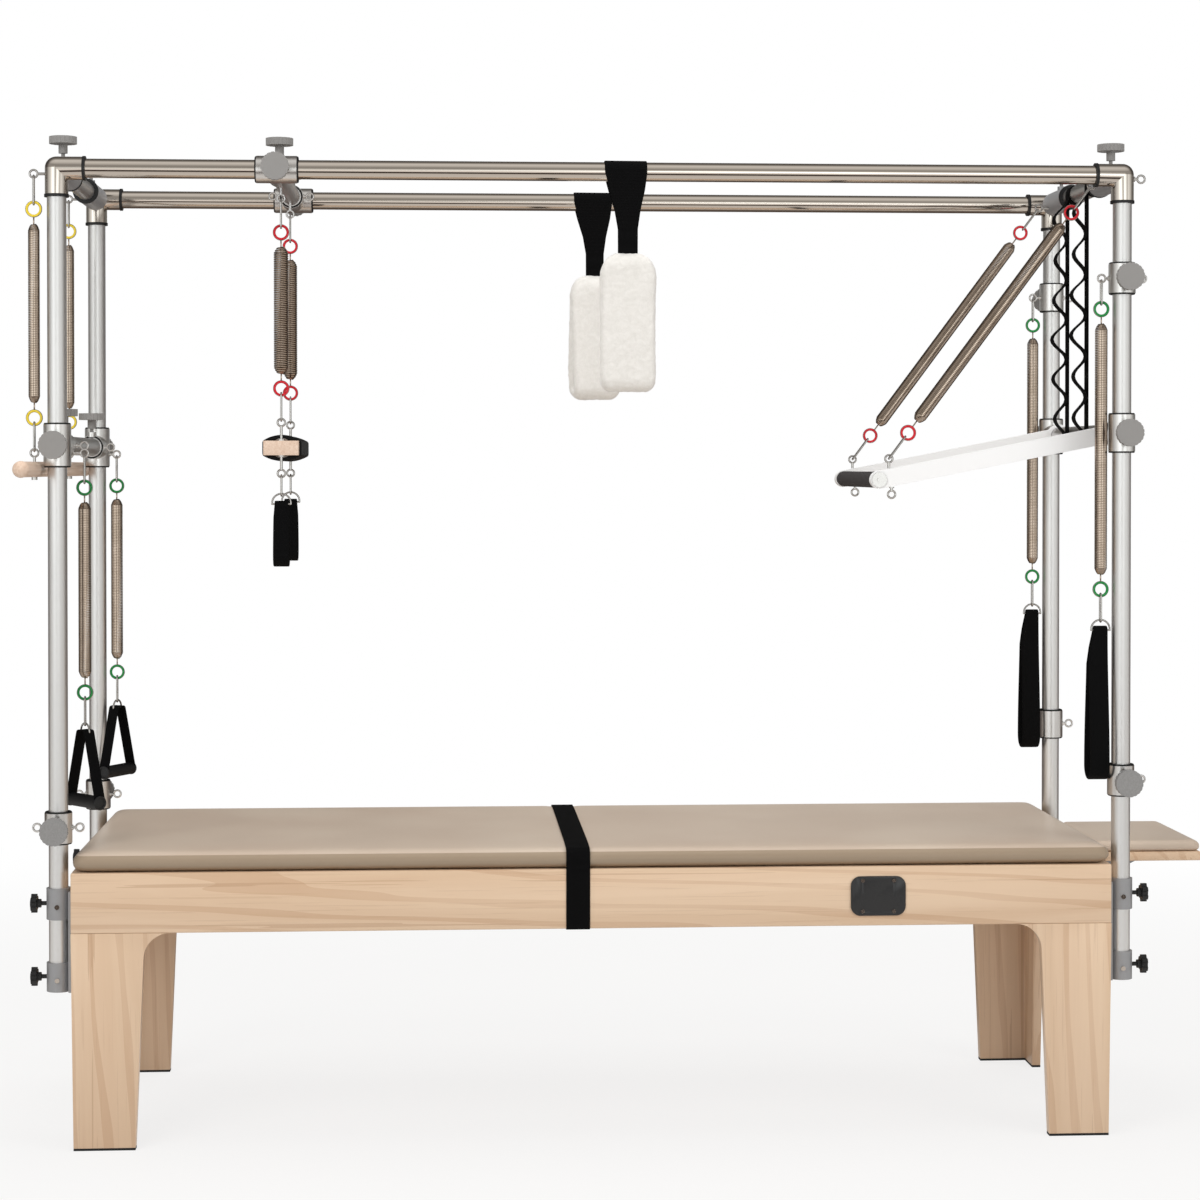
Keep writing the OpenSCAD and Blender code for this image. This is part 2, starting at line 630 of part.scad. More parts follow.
// Springs of the push-through bar: the top of each hangs at the frame

bar_hang = hang*unit([bar_eye[0] - bar_top[0], bar_eye[1] - bar_top[1]]);
module at_bar_springs() for (s = [-1, 1])
    translate([bar_top[0] + bar_hang[0], s*bar_y, bar_top[1] + bar_hang[1]])
        rotate([0, bar_lean, 0]) children();
module bar_spring_tops() color("lightgray") at_bar_springs() {
    snap_link(snap_l);
    translate([0, 0, -snap_l]) spring_ring();
}
module bar_springs() color([0.55, 0.48, 0.42]) at_bar_springs()
    translate([0, 0, -snap_l]) spring_coil(bar_coil, coil_r, "push bar spring");
module bar_spring_ends() color("lightgray") at_bar_springs() translate([0, 0, -snap_l]) {
    translate([0, 0, -coil_end(bar_coil) + ring_drop]) spring_ring();
    translate([0, 0, -low_link(bar_coil)]) snap_link(snap_l);
}

// Sliding trapeze

module slider_clamps() color("silver") for (side = [-1, 1])
    translate([slider_x, -side*post_y, rail_z]) tee_clamp(side, true, tee_l - 2, cross_reach);
module slider_tube() color("silver") {
    translate([slider_x, 0, rail_z]) cross_tube();
    for (s = [-1, 1]) translate([slider_x, s*trap_y, trap_z]) {
        rotate([90, 0, 0]) torus(eye_r, eye_wire);
        bar_z(eye_r, rail_z - trap_z - tube_r + 1, 3);
    }
}
module slider_knobs() color("gray") for (side = [-1, 1])
    translate([slider_x, -side*post_y, rail_z]) tee_knobs(side);

trap_top = trap_z - hang;           // the links' tops, and the axis that they swing about
trap_low = snap_l + low_link(coil_s) + snap_l;
trap_eye_z = trap_top - trap_low + snap_wire + eye_wire + link_gap - eye_r;
wood_w = 74;
wood_h = 31;
wood_l = 410;
wood_z = trap_eye_z - eye_r - 31 - wood_h/2;
module at_trapeze() for (s = [-1, 1]) translate([slider_x, s*trap_y, trap_top]) children();
module trapeze_springs() color([0.55, 0.48, 0.42]) at_trapeze()
    translate([0, 0, -snap_l]) spring_coil(coil_s, coil_r, "trapeze spring");
module trapeze_fittings() color("lightgray") for (s = [-1, 1]) {
    translate([slider_x, s*trap_y, trap_top]) {
        snap_link(snap_l);
        translate([0, 0, -snap_l]) spring_rings(coil_s);
        translate([0, 0, -snap_l - low_link(coil_s)]) snap_link(snap_l);
    }
    translate([slider_x, s*trap_y, wood_z]) {
        for (k = [-1, 1]) translate([0, 0, k*(trap_eye_z - wood_z)]) rotate([90, 0, 0])
            torus(eye_r, eye_wire);
        bar_z(-(trap_eye_z - wood_z - eye_r), trap_eye_z - wood_z - eye_r, 3);
        for (k = [-1, 1]) translate([0, 0, k*(wood_h/2 + 1.5)]) bar_z(-1.5, 1.5, 8);
    }
    translate([slider_x, s*trap_y, cuff_top]) {
        translate([0, 0, cuff_snap]) snap_link(cuff_snap);
        dee_ring();
    }
}
cuff_snap = 44;
cuff_top = 2*wood_z - trap_eye_z - eye_r + eye_wire + snap_wire + link_gap - cuff_snap;
cuff_w = 50;
cuff_l = 134;
module trapeze_bar() color("wheat") translate([slider_x, 0, wood_z]) difference() {
    cube([wood_w, wood_l, wood_h], center = true);
    for (s = [-1, 1]) translate([0, s*trap_y, 0]) bar_z(-wood_h, wood_h, 3.05);
}
sleeve_w = 84;                      // the padded sleeve of the wooden bar
sleeve_h = 56;
sleeve_r = 76;
module trapeze_pad() color([0.07, 0.07, 0.07]) translate([slider_x, 0, wood_z]) difference() {
    rotate([90, 0, 0]) translate([0, 0, -trap_y + 14]) linear_extrude(2*trap_y - 28)
        intersection() {
            translate([0, sleeve_h/2 - sleeve_r]) circle(r = sleeve_r);
            translate([0, sleeve_r - sleeve_h/2]) circle(r = sleeve_r);
            square([sleeve_w, sleeve_h], center = true);
        }
    cube([wood_w + 2*eps, wood_l, wood_h + 2*eps], center = true);
}
// a closed strap loop in the YZ plane that hangs from a ring's bar at z = 0
module strap_loop(width, length, bulge, t) {
    translate([-width/2, 0, 0]) rotate([90, 0, 90]) linear_extrude(width) difference() {
        union() {
            translate([-t, -length + bulge/2]) square([2*t, length - bulge/2 + t + 2]);
            translate([0, -length + bulge/2]) circle(r = bulge/2);
            polygon([[-bulge/2, -length + bulge/2], [bulge/2, -length + bulge/2], [t, -t*2], [-t, -t*2]]);
        }
        circle(r = 2 + link_gap);
        translate([0, -length + bulge/2]) circle(r = bulge/2 - t);
        polygon([[-bulge/2 + t, -length + bulge/2], [bulge/2 - t, -length + bulge/2], [1, -t*3.4], [-1, -t*3.4]]);
    }
}
module trapeze_cuffs() color([0.07, 0.07, 0.07]) for (s = [-1, 1])
    translate([slider_x, s*trap_y, cuff_top + dee_bar()]) strap_loop(34, cuff_l, cuff_w, 5);

// Left crossbar with its pull springs and handles

module crossbar_clamps() color("silver") {
    for (side = [-1, 1]) at_post(-1, side, cross_z) tee_clamp(side, false, tee_l, cross_reach);
    // the pull springs' eyes stand on the front cross sleeve and on the rear clamp
    for (y = pull_y) translate([pull_x, y, pull_z]) {
        rotate([90, 0, 0]) torus(eye_r, eye_wire);
        bar_x((y < 0 ? 21.5 : clamp_r - 0.5) - pull_x - post_x, -eye_r, 3);
    }
}
module crossbar_tube() color("silver") translate([-post_x, 0, cross_z]) cross_tube();
module crossbar_knobs() color("gray") for (side = [-1, 1]) at_post(-1, side, cross_z) tee_knobs(side);

pull_top = pull_z - hang;
pull_low = snap_l + low_link(coil_m) + snap_l;
module at_pulls() for (y = pull_y) translate([pull_x, y, pull_top]) children();
module pull_springs() color([0.55, 0.48, 0.42]) at_pulls()
    translate([0, 0, -snap_l]) spring_coil(coil_m, coil_r, "pull spring");
module pull_fittings() color("lightgray") for (i = [0, 1])
    translate([pull_x, pull_y[i], pull_top]) {
        snap_link(snap_l);
        translate([0, 0, -snap_l]) spring_rings(coil_m);
        translate([0, 0, -snap_l - low_link(coil_m)]) snap_link(snap_l);
        translate([0, 0, -pull_low]) rotate([0, 0, handle_turn[i]]) dee_ring(dee_small);
    }
handle_turn = [-50, 63];            // how the handles hang
grip_r = 14;
grip_l = 112;
handle_h = 146;
module handle() {
    translate([0, 0, -handle_h]) bar_x(-grip_l/2 - 6, grip_l/2 + 6, grip_r);
    rotate([90, 0, 0]) translate([0, 0, -13]) linear_extrude(26) difference() {
        polygon([[-14, 5], [14, 5], [17, -40], [grip_l/2 + 5, -handle_h],
            [-grip_l/2 - 5, -handle_h], [-17, -40]]);
        polygon([[0, -52], [grip_l/2 - 5, -handle_h + grip_r - 2], [-grip_l/2 + 5, -handle_h + grip_r - 2]]);
                translate([-20, -2 - link_gap]) square([40, 4 + 2*link_gap]);
        translate([-20, 0]) square([40, 12]);
    }
}
module pull_handles() color([0.07, 0.07, 0.07]) for (i = [0, 1])
    translate([pull_x, pull_y[i], pull_top - pull_low + dee_bar(dee_small)]) rotate([0, 0, handle_turn[i]]) handle();

// Roll-down bar on its two light springs

roll_top = roll_z - hang;
roll_low = snap_l + low_link(coil_m) + snap_l;
roll_eye_z = roll_top - roll_low + snap_wire + eye_wire + link_gap - eye_r;
dowel_z = roll_eye_z - eye_r - 10 - dowel_r;
module at_roll() for (y = roll_y) translate([roll_x, y, roll_top]) children();
module roll_springs() color([0.55, 0.48, 0.42]) at_roll()
    translate([0, 0, -snap_l]) spring_coil(coil_m, coil_light_r, "roll-down spring");
module roll_fittings() color("lightgray") for (y = roll_y) {
    translate([roll_x, y, roll_top]) {
        snap_link(snap_l);
        translate([0, 0, -snap_l]) spring_rings(coil_m);
        translate([0, 0, -snap_l - low_link(coil_m)]) snap_link(snap_l);
    }
    translate([roll_x, y, roll_eye_z]) {
        rotate([90, 0, 0]) torus(eye_r, eye_wire);
        bar_z(-eye_r - 10 - 2*dowel_r - 6, -eye_r, 3);
        bar_z(-eye_r - 10 - 2*dowel_r - 6, -eye_r - 10 - 2*dowel_r, 6);
    }
}
module roll_dowel() color("wheat") difference() {
    translate([roll_x, 0, dowel_z]) {
        bar_y(roll_span[0] + 20, roll_span[1] - 20, dowel_r);
        for (s = [0, 1]) translate([0, roll_span[s] + (s > 0 ? -17 : 17), 0]) sphere(r = 17);
    }
    for (y = roll_y) translate([roll_x, y, dowel_z]) bar_z(-2*dowel_r, 2*dowel_r, 3.05);
}

// Fleece slings on the top rails

sling_w2 = 58;
hitch_r = tube_r + eps;
module sling_strap(i) color([0.07, 0.07, 0.07])
    translate([sling_x[i], i > 0 ? post_y : -post_y, rail_z]) {
        difference() {
            bar_x(-sling_w2/2 - 8, sling_w2/2 + 8, hitch_r + 3);
            bar_x(-sling_w2, sling_w2, hitch_r);
        }
        translate([-sling_w2/2, -2, -(rail_z - sling_top) - 30])
            cube([sling_w2, 4, rail_z - sling_top + 30 - hitch_r - 1.5]);
    }
module sling_strap_front() sling_strap(0);
module sling_strap_rear() sling_strap(1);
module sling_fleece() {
    gap = 14;
    intersection() {
        translate([-sling_w, 0, 0]) rotate([90, 0, 90]) linear_extrude(2*sling_w) difference() {
            union() {
                translate([-sling_t/2, -sling_l + sling_t/2]) square([sling_t, sling_l - sling_t]);
                for (z = [-sling_t/2, -sling_l + sling_t/2]) translate([0, z]) circle(r = sling_t/2);
            }
            translate([-gap/2, -sling_l + 40]) square([gap, sling_l - 84]);
            translate([-2 - eps, -32]) square([4 + 2*eps, 40]);
        }
        rotate([90, 0, 0]) translate([0, 0, -sling_t]) linear_extrude(2*sling_t) {
            translate([-sling_w/2, -sling_l + 26]) square([sling_w, sling_l - 26 - sling_w/2]);
            translate([-sling_w/2 + 26, -sling_l]) square([sling_w - 52, sling_l - sling_w/2]);
            for (s = [-1, 1]) translate([s*(sling_w/2 - 26), -sling_l + 26]) circle(r = 26);
            translate([0, -sling_w/2]) circle(r = sling_w/2);
        }
    }
}
module sling_fleece_front() color("ivory") translate([sling_x[0], -post_y, sling_top]) sling_fleece();
module sling_fleece_rear() color("ivory") translate([sling_x[1], post_y, sling_top]) sling_fleece();

// Clamps on the posts

module clamp_low(sx, side, z, eyes) color("silver") at_post(sx, side, z) {
    post_clamp(side, eyes);
    front_knob(side);
}
module clamp_low_front_left() clamp_low(-1, 1, low_left_z, [-1, 1]);
module clamp_low_rear_left() clamp_low(-1, -1, low_back_z, [-1, 1]);
module clamp_low_front_right() clamp_low(1, 1, low_front_z, [1]);
module clamp_low_rear_right() clamp_low(1, -1, low_rear_z, [1]);

// Long springs with foot loops on the right posts

loop_top = loop_z - hang;
loop_low = snap_short + low_link(coil_l) + snap_l;
loop_len = 318;
module at_loops() for (s = [-1, 1]) translate([loop_x, s*post_y, loop_top]) children();
module loop_springs() color([0.55, 0.48, 0.42]) at_loops()
    translate([0, 0, -snap_short]) spring_coil(coil_l, coil_r, "loop spring");
module loop_fittings() color("lightgray") at_loops() {
    snap_link(snap_short);
    translate([0, 0, -snap_short]) spring_rings(coil_l);
    translate([0, 0, -snap_short - low_link(coil_l)]) snap_link(snap_l);
    translate([0, 0, -loop_low]) dee_ring();
}
loop_w = 42;
// the loops lie against the inner side of their rings, clear of the clamps
module foot_loops() color([0.07, 0.07, 0.07]) at_loops()
    translate([14 - loop_w/2, 0, -loop_low + dee_bar()]) foot_loop();
module foot_loop() {
    intersection() {
        strap_loop(loop_w, loop_len, 64, 7);
        // narrowed where it passes through its ring
        rotate([90, 0, 0]) translate([0, 0, -40]) linear_extrude(80) polygon([
            [loop_w/2 - 14 - 16, 20], [loop_w/2, 20], [loop_w/2, -loop_len - 1], [-loop_w/2, -loop_len - 1],
            [-loop_w/2, -50], [loop_w/2 - 14 - 16, -16]]);
    }
}

place() side_rails();
place() end_rails();
place() legs();
place() deck_board();
place() deck_bearers();
place() mattress();
place() table_strap();
place() plaque();
place() screws();
place() rubber_feet();
place() extension_board();
place() extension_pad();
place() extension_brackets();
place() uprights();
place() sockets();
place() star_knobs();
place() top_rails();
place() elbows();
place() end_tubes();
place() end_sleeves();
place() elbow_bushes();
place() frame_knobs();
place() frame_eyes();
place() carriage_clamps();
place() carriage_tube();
place() ladder_straps();
place() push_arms();
place() push_fittings();
place() push_grip();
place() bar_spring_tops();
place() bar_springs();
place() bar_spring_ends();
place() slider_clamps();
place() slider_tube();
place() slider_knobs();
place() trapeze_springs();
place() trapeze_fittings();
place() trapeze_bar();
place() trapeze_pad();
place() trapeze_cuffs();
place() crossbar_clamps();
place() crossbar_tube();
place() crossbar_knobs();
place() pull_springs();
place() pull_fittings();
place() pull_handles();
place() roll_springs();
place() roll_fittings();
place() roll_dowel();
place() sling_strap_front();
place() sling_strap_rear();
place() sling_fleece_front();
place() sling_fleece_rear();
place() clamp_low_front_left();
place() clamp_low_rear_left();
place() clamp_low_front_right();
place() clamp_low_rear_right();
place() loop_springs();
place() loop_fittings();
place() foot_loops();
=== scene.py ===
import math

import bpy
from mathutils import Matrix, Vector, noise


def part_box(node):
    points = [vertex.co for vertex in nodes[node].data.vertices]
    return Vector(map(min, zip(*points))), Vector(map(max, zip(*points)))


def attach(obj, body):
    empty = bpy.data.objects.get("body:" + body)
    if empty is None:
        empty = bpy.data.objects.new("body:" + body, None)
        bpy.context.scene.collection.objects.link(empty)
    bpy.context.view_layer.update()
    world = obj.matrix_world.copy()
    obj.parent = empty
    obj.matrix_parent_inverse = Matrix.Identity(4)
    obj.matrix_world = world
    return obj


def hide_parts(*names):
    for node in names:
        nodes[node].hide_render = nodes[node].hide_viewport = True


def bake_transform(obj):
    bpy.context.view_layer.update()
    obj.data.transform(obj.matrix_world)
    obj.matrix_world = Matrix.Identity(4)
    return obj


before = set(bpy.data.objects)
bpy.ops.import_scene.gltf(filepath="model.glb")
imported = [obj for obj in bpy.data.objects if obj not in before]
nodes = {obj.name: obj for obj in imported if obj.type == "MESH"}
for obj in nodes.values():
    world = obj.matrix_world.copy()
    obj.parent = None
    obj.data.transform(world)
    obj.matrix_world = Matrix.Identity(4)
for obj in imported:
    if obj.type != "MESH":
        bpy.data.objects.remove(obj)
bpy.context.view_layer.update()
railLow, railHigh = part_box("side_rails")
middle = (railLow + railHigh) / 2  # the table's middle; the object's origin is under its outline
midX, midY = middle.x, middle.y
postX, postY, railZ = 1.120, 0.3255, 2.034  # a post's axis from the middle, and the top rails' height
trapezeX = midX - 0.666
print("stage: frame loaded, table middle at", round(midX, 4), round(midY, 4))

# camera, fitted to the photograph's view

cameraFit = {
    "place": (midX - 0.3338, midY - 5.9064, 1.4149),
    "turn": (math.pi / 2 - 0.01476, 0.0, -0.06125),
    "lens": 79.8,
    "shiftY": -0.0782,
}
bpy.ops.object.camera_add(location=cameraFit["place"], rotation=cameraFit["turn"])
camera = bpy.context.object
camera.data.lens = cameraFit["lens"]
camera.data.sensor_width = 36.0
camera.data.shift_y = cameraFit["shiftY"]
camera.data.clip_end = 60.0
bpy.context.scene.camera = camera
print("stage: camera set")

# shader maths: a socket with the usual operators


class Wire:
    def __init__(self, recipe, socket):
        self.recipe = recipe
        self.socket = socket

    def pair(self, operation, first, second):
        return self.recipe.node("ShaderNodeMath", {"operation": operation}, {0: first, 1: second})

    def __add__(self, other):
        return self.pair("ADD", self, other)

    def __radd__(self, other):
        return self.pair("ADD", other, self)

    def __sub__(self, other):
        return self.pair("SUBTRACT", self, other)

    def __rsub__(self, other):
        return self.pair("SUBTRACT", other, self)

    def __mul__(self, other):
        return self.pair("MULTIPLY", self, other)

    def __rmul__(self, other):
        return self.pair("MULTIPLY", other, self)

    def below(self, other):
        return self.pair("LESS_THAN", self, other)

    def above(self, other):
        return self.pair("GREATER_THAN", self, other)


class Recipe:
    def __init__(self, name):
        self.material = bpy.data.materials.new(name)
        self.material.use_nodes = True
        self.tree = self.material.node_tree
        self.shader = self.tree.nodes["Principled BSDF"]

    def node(self, kind, settings=None, inputs=None, output=0):
        made = self.tree.nodes.new(kind)
        for key, value in (settings or {}).items():
            if key == "stops":
                ramp = made.color_ramp
                while len(ramp.elements) < len(value):
                    ramp.elements.new(0.5)
                for element, (place, colour) in zip(ramp.elements, value):
                    element.position = place
                    element.color = (*colour, 1.0) if len(colour) == 3 else colour
            else:
                setattr(made, key, value)
        for key, value in (inputs or {}).items():
            self.feed(made.inputs[key], value)
        return Wire(self, made.outputs[output])

    def feed(self, socket, value):
        if isinstance(value, Wire):
            self.tree.links.new(value.socket, socket)
        elif hasattr(socket.default_value, "__len__") and len(value) == 3 and len(socket.default_value) == 4:
            socket.default_value = (*value, 1.0)
        else:
            socket.default_value = value

    def place(self, scale=(1, 1, 1), turn=(0, 0, 0), shift=(0, 0, 0)):
        spot = self.node("ShaderNodeTexCoord", output="Object")
        return self.node("ShaderNodeMapping", {}, {
            "Vector": spot, "Location": shift, "Rotation": turn, "Scale": scale})

    def noise(self, vector, scale, detail=3.0, rough=0.5, distortion=0.0):
        return self.node("ShaderNodeTexNoise", {}, {
            "Vector": vector, "Scale": scale, "Detail": detail, "Roughness": rough, "Distortion": distortion})

    def wave(self, vector, scale, distortion=0.0, direction="X", detail=0.0):
        return self.node("ShaderNodeTexWave", {"bands_direction": direction}, {
            "Vector": vector, "Scale": scale, "Distortion": distortion, "Detail": detail})

    def ramp(self, factor, stops):
        return self.node("ShaderNodeValToRGB", {"stops": stops}, {"Fac": factor})

    def blend(self, factor, first, second):
        return self.node("ShaderNodeMix", {"data_type": "RGBA"}, {0: factor, 6: first, 7: second}, output=2)

    def axis(self, letter):
        spot = self.node("ShaderNodeTexCoord", output="Object")
        return self.node("ShaderNodeSeparateXYZ", {}, {"Vector": spot}, output=letter)

    def bump(self, height, strength, distance):
        return self.node("ShaderNodeBump", {}, {"Height": height, "Strength": strength, "Distance": distance})

    def set(self, **values):
        names = {"colour": "Base Color", "rough": "Roughness", "metal": "Metallic", "coat": "Coat Weight",
                 "coatRough": "Coat Roughness", "sheen": "Sheen Weight", "sheenRough": "Sheen Roughness",
                 "normal": "Normal", "specular": "Specular IOR Level", "sheenTint": "Sheen Tint"}
        for key, value in values.items():
            self.feed(self.shader.inputs[names[key]], value)
        return self.material


def linear(r, g, b):  # a colour read off the photograph, as the shader wants it
    return tuple(((c / 255 + 0.055) / 1.055) ** 2.4 if c > 10 else c / 255 / 12.92 for c in (r, g, b))


def mapleFinish(name, along, seed=0.0):
    # pale boards with fine pores along the grain, broad slow figure and a satin lacquer
    look = {"pale": (230, 203, 174), "deep": (214, 182, 150), "ring": (226, 196, 168),
            "fleck": (172, 132, 98), "line": (188, 146, 110)}
    m = Recipe(name)
    stretch = {"x": (0.55, 9.0, 9.0), "z": (9.0, 9.0, 0.55), "y": (9.0, 0.55, 9.0)}[along]
    fine = {"x": (3.0, 240.0, 240.0), "z": (240.0, 240.0, 3.0), "y": (240.0, 3.0, 240.0)}[along]
    bands = m.noise(m.place(stretch, shift=(seed, seed, seed)), 1.0, 5.0, 0.55, 1.4)
    rings = m.wave(m.place(stretch, shift=(seed, 0, seed)), 0.5, 9.0, "DIAGONAL", 3.0)
    pores = m.noise(m.place(fine, shift=(seed, seed, 0)), 1.0, 3.0, 0.6)
    flecks = m.noise(m.place(tuple(v * 0.28 for v in fine), shift=(0, seed, 0)), 1.0, 2.0)
    body = m.ramp(bands, [(0.3, linear(*look["pale"])), (0.72, linear(*look["deep"]))])
    body = m.blend(rings * 0.2, body, linear(*look["ring"]))
    cathedral = m.wave(m.place(stretch, shift=(seed, 1.7, seed)), 1.3, 7.0, "DIAGONAL", 2.0)
    body = m.blend(cathedral.above(0.86) * (bands * 0.6), body, linear(*look["line"]))
    body = m.blend(flecks.above(0.66) * 0.35, body, linear(*look["fleck"]))
    body = m.blend(pores.above(0.62) * 0.16, body, linear(*look["fleck"]))
    return m.set(colour=body, rough=0.34 + pores * 0.12, coat=0.25, coatRough=0.2,
                 normal=m.bump(pores, 0.12, 0.0004))


def paleWoodFinish(name, along):
    m = Recipe(name)
    fine = {"y": (150.0, 3.0, 150.0), "x": (3.0, 150.0, 150.0)}[along]
    grain = m.noise(m.place(fine), 1.0, 4.0, 0.6, 0.4)
    body = m.ramp(grain, [(0.35, linear(232, 207, 187)), (0.7, linear(214, 185, 163))])
    return m.set(colour=body, rough=0.42 + grain * 0.1, coat=0.15, normal=m.bump(grain, 0.15, 0.0004))


def vinylFinish():
    # taupe upholstery vinyl: tight leather pebble, slow dents and a soft shine, with painted shade darkening
    # the mattress's lower sides
    m = Recipe("vinylTaupe")
    cells = m.node("ShaderNodeTexVoronoi", {"feature": "DISTANCE_TO_EDGE"},
                   {"Vector": m.place(), "Scale": 620.0})
    soft = m.noise(m.place(), 9.0, 3.0)
    cloud = m.noise(m.place(), 3.0, 2.0)
    body = m.ramp(cloud, [(0.35, linear(196, 177, 159)), (0.7, linear(204, 187, 169))])
    # painted shade: the mattress's sides, up to 35 mm over the rails' top and short of the extension pad, get
    # a darker colour for the shade they lie in; the same band carries the side creases
    side = m.axis("Z").below(railHigh.z + 0.035) * m.axis("X").below(railHigh.x + 0.004)
    body = m.blend(side * 0.85, body, linear(149, 130, 107))
    creases = m.noise(m.place((1.6, 1.6, 60.0)), 1.0, 3.0, 0.5, 0.5)
    relief = cells.below(0.045) * -0.25 + soft * 3.0 + side * creases * 2.2
    return m.set(colour=body, rough=0.3 + soft * 0.09, coat=0.22, coatRough=0.28,
                 normal=m.bump(relief, 0.3, 0.0006))


def weaveFinish(name, shade, size=900.0, angle=0.0, rough=0.82):
    m = Recipe(name)
    spot = m.place(turn=(angle, angle, angle))
    warp = m.wave(spot, size / 6.28, 0.0, "X")
    weft = m.wave(spot, size / 6.28, 0.0, "Z")
    across = m.wave(spot, size / 6.28, 0.0, "Y")
    fuzz = m.noise(m.place(), 1400.0, 2.0)
    wear = m.noise(m.place(), 26.0, 3.0)
    body = m.ramp(warp * 0.3 + weft * 0.3 + across * 0.2 + fuzz * 0.3, [
        (0.2, tuple(c * 0.45 for c in shade)), (0.85, tuple(c * 1.7 for c in shade))])
    body = m.blend(wear * 0.2, body, tuple(min(1.0, c * 1.8) for c in shade))
    return m.set(colour=body, rough=rough, specular=0.1,
                 normal=m.bump(warp + weft + across + fuzz * 0.5, 0.45, 0.0005))


def fleeceFinish():
    m = Recipe("fleeceWhite")
    tufts = m.noise(m.place(), 95.0, 5.0, 0.65, 0.6)
    hair = m.noise(m.place((1, 1, 0.5)), 620.0, 4.0, 0.7)
    body = m.ramp(tufts * 0.7 + hair * 0.3, [(0.3, linear(226, 223, 217)), (0.62, linear(238, 235, 230))])
    return m.set(colour=body, rough=0.95, sheen=0.6, sheenRough=0.4, sheenTint=(1.0, 1.0, 1.0),
                 normal=m.bump(tufts + hair * 0.5, 0.34, 0.003))


def metalFinish(name, colour, rough, along=None, streak=0.04):
    m = Recipe(name)
    scale = {"x": (2.0, 900.0, 900.0), "y": (900.0, 2.0, 900.0), "z": (900.0, 900.0, 2.0),
             None: (300.0, 300.0, 300.0)}[along]
    lines = m.noise(m.place(scale), 1.0, 2.0, 0.6)
    marks = m.noise(m.place(), 7.0, 4.0)
    body = m.blend(marks * 0.25, colour, tuple(c * 0.88 for c in colour))
    return m.set(colour=body, metal=1.0, rough=rough + lines * streak + marks * 0.03,
                 normal=m.bump(lines, 0.02, 0.0002))


def paintFinish(name, colour, rough=0.42, metal=0.0, grain=0.12):
    m = Recipe(name)
    orange = m.noise(m.place(), 420.0, 3.0)
    wear = m.noise(m.place(), 12.0, 4.0)
    body = m.blend(wear * 0.2, colour, tuple(c * 0.86 for c in colour))
    return m.set(colour=body, metal=metal, rough=rough + orange * 0.08 + wear * 0.05,
                 normal=m.bump(orange, grain, 0.0003))


def plasticFinish(name, colour, rough=0.5):
    m = Recipe(name)
    texture = m.noise(m.place(), 1100.0, 2.0)
    cloud = m.noise(m.place(), 20.0, 2.0)
    body = m.blend(cloud * 0.3, colour, tuple(c * 1.25 for c in colour))
    return m.set(colour=body, rough=rough + texture * 0.12, normal=m.bump(texture, 0.2, 0.0003))


def foamFinish():
    m = Recipe("gripFoam")
    cells = m.noise(m.place(), 1500.0, 4.0, 0.7)
    body = m.ramp(cells, [(0.35, linear(44, 42, 43)), (0.7, linear(82, 78, 78))])
    return m.set(colour=body, rough=0.85, normal=m.bump(cells, 0.5, 0.0006))


def springFinish():
    # nickel-grey wire with the photograph's warm brown cast
    m = Recipe("springWire")
    tone = m.noise(m.place(), 40.0, 3.0)
    body = m.ramp(tone, [(0.3, linear(163, 146, 130)), (0.7, linear(179, 162, 147))])
    return m.set(colour=body, metal=1.0, rough=0.12 + tone * 0.05)


def lowClampFinish():
    # the clamp's steel, and the grey cast disc of its knob, which stands farther out than the rest
    m = Recipe("lowClamp")
    discFrom = 0.3868  # the knob's disc begins this far from the middle plane
    off = m.axis("Y") - midY
    disc = (off * off).above(discFrom ** 2)
    marks = m.noise(m.place(), 7.0, 4.0)
    steel = m.blend(marks * 0.25, (0.72, 0.70, 0.68), (0.63, 0.62, 0.60))
    grain = m.noise(m.place(), 300.0, 2.0)
    grey = m.ramp(grain, [(0.3, linear(136, 135, 134)), (0.7, linear(146, 145, 144))])
    return m.set(colour=m.blend(disc, steel, grey), metal=1.0 - disc, rough=0.26 + marks * 0.04 + disc * 0.22)


def ringFinish(name, centres, insert):
    # steel fittings; each spring ring carries its coloured insert inside a steel rim
    inner, outer, deep = 0.0112, 0.0164, 0.0034
    m = Recipe(name)
    x, y, z = m.axis("X"), m.axis("Y"), m.axis("Z")
    mask = None
    for cx, cy, cz in centres:
        dx, dz, dy = x - cx, z - cz, y - cy
        squared = dx * dx + dz * dz
        near = (dy * dy).below(deep ** 2) * squared.above(inner ** 2) * squared.below(outer ** 2)
        mask = near if mask is None else mask + near
    marks = m.noise(m.place(), 60.0, 3.0)
    steel = m.blend(marks * 0.4, (0.52, 0.50, 0.48), (0.40, 0.38, 0.36))
    body = m.blend(mask, steel, insert)
    return m.set(colour=body, metal=1.0 - mask, rough=0.2 + marks * 0.1 + mask * 0.2)


def sleeveFinish():
    # black vinyl whose ends show the pale grey foam inside
    m = Recipe("sleeveBlack")
    low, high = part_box("trapeze_pad")
    x, y, z = m.axis("X") - (low.x + high.x) / 2, m.axis("Y"), m.axis("Z") - (low.z + high.z) / 2
    ends = y.below(low.y + 0.0045) + y.above(high.y - 0.0045)
    foamy = ends * (x * x * 0.9 + z * z).below(0.021 ** 2)
    grain = m.noise(m.place(), 520.0, 4.0, 0.6)
    folds = m.noise(m.place((9.0, 26.0, 9.0)), 1.0, 3.0)
    body = m.ramp(grain, [(0.3, (0.0022, 0.0022, 0.0024)), (0.75, (0.0055, 0.0055, 0.006))])
    body = m.blend(foamy, body, linear(176, 174, 172))
    return m.set(colour=body, rough=0.5 + grain * 0.15 + foamy * 0.3, specular=0.2,
                 normal=m.bump(grain * 0.4 + folds, 0.3, 0.0012))


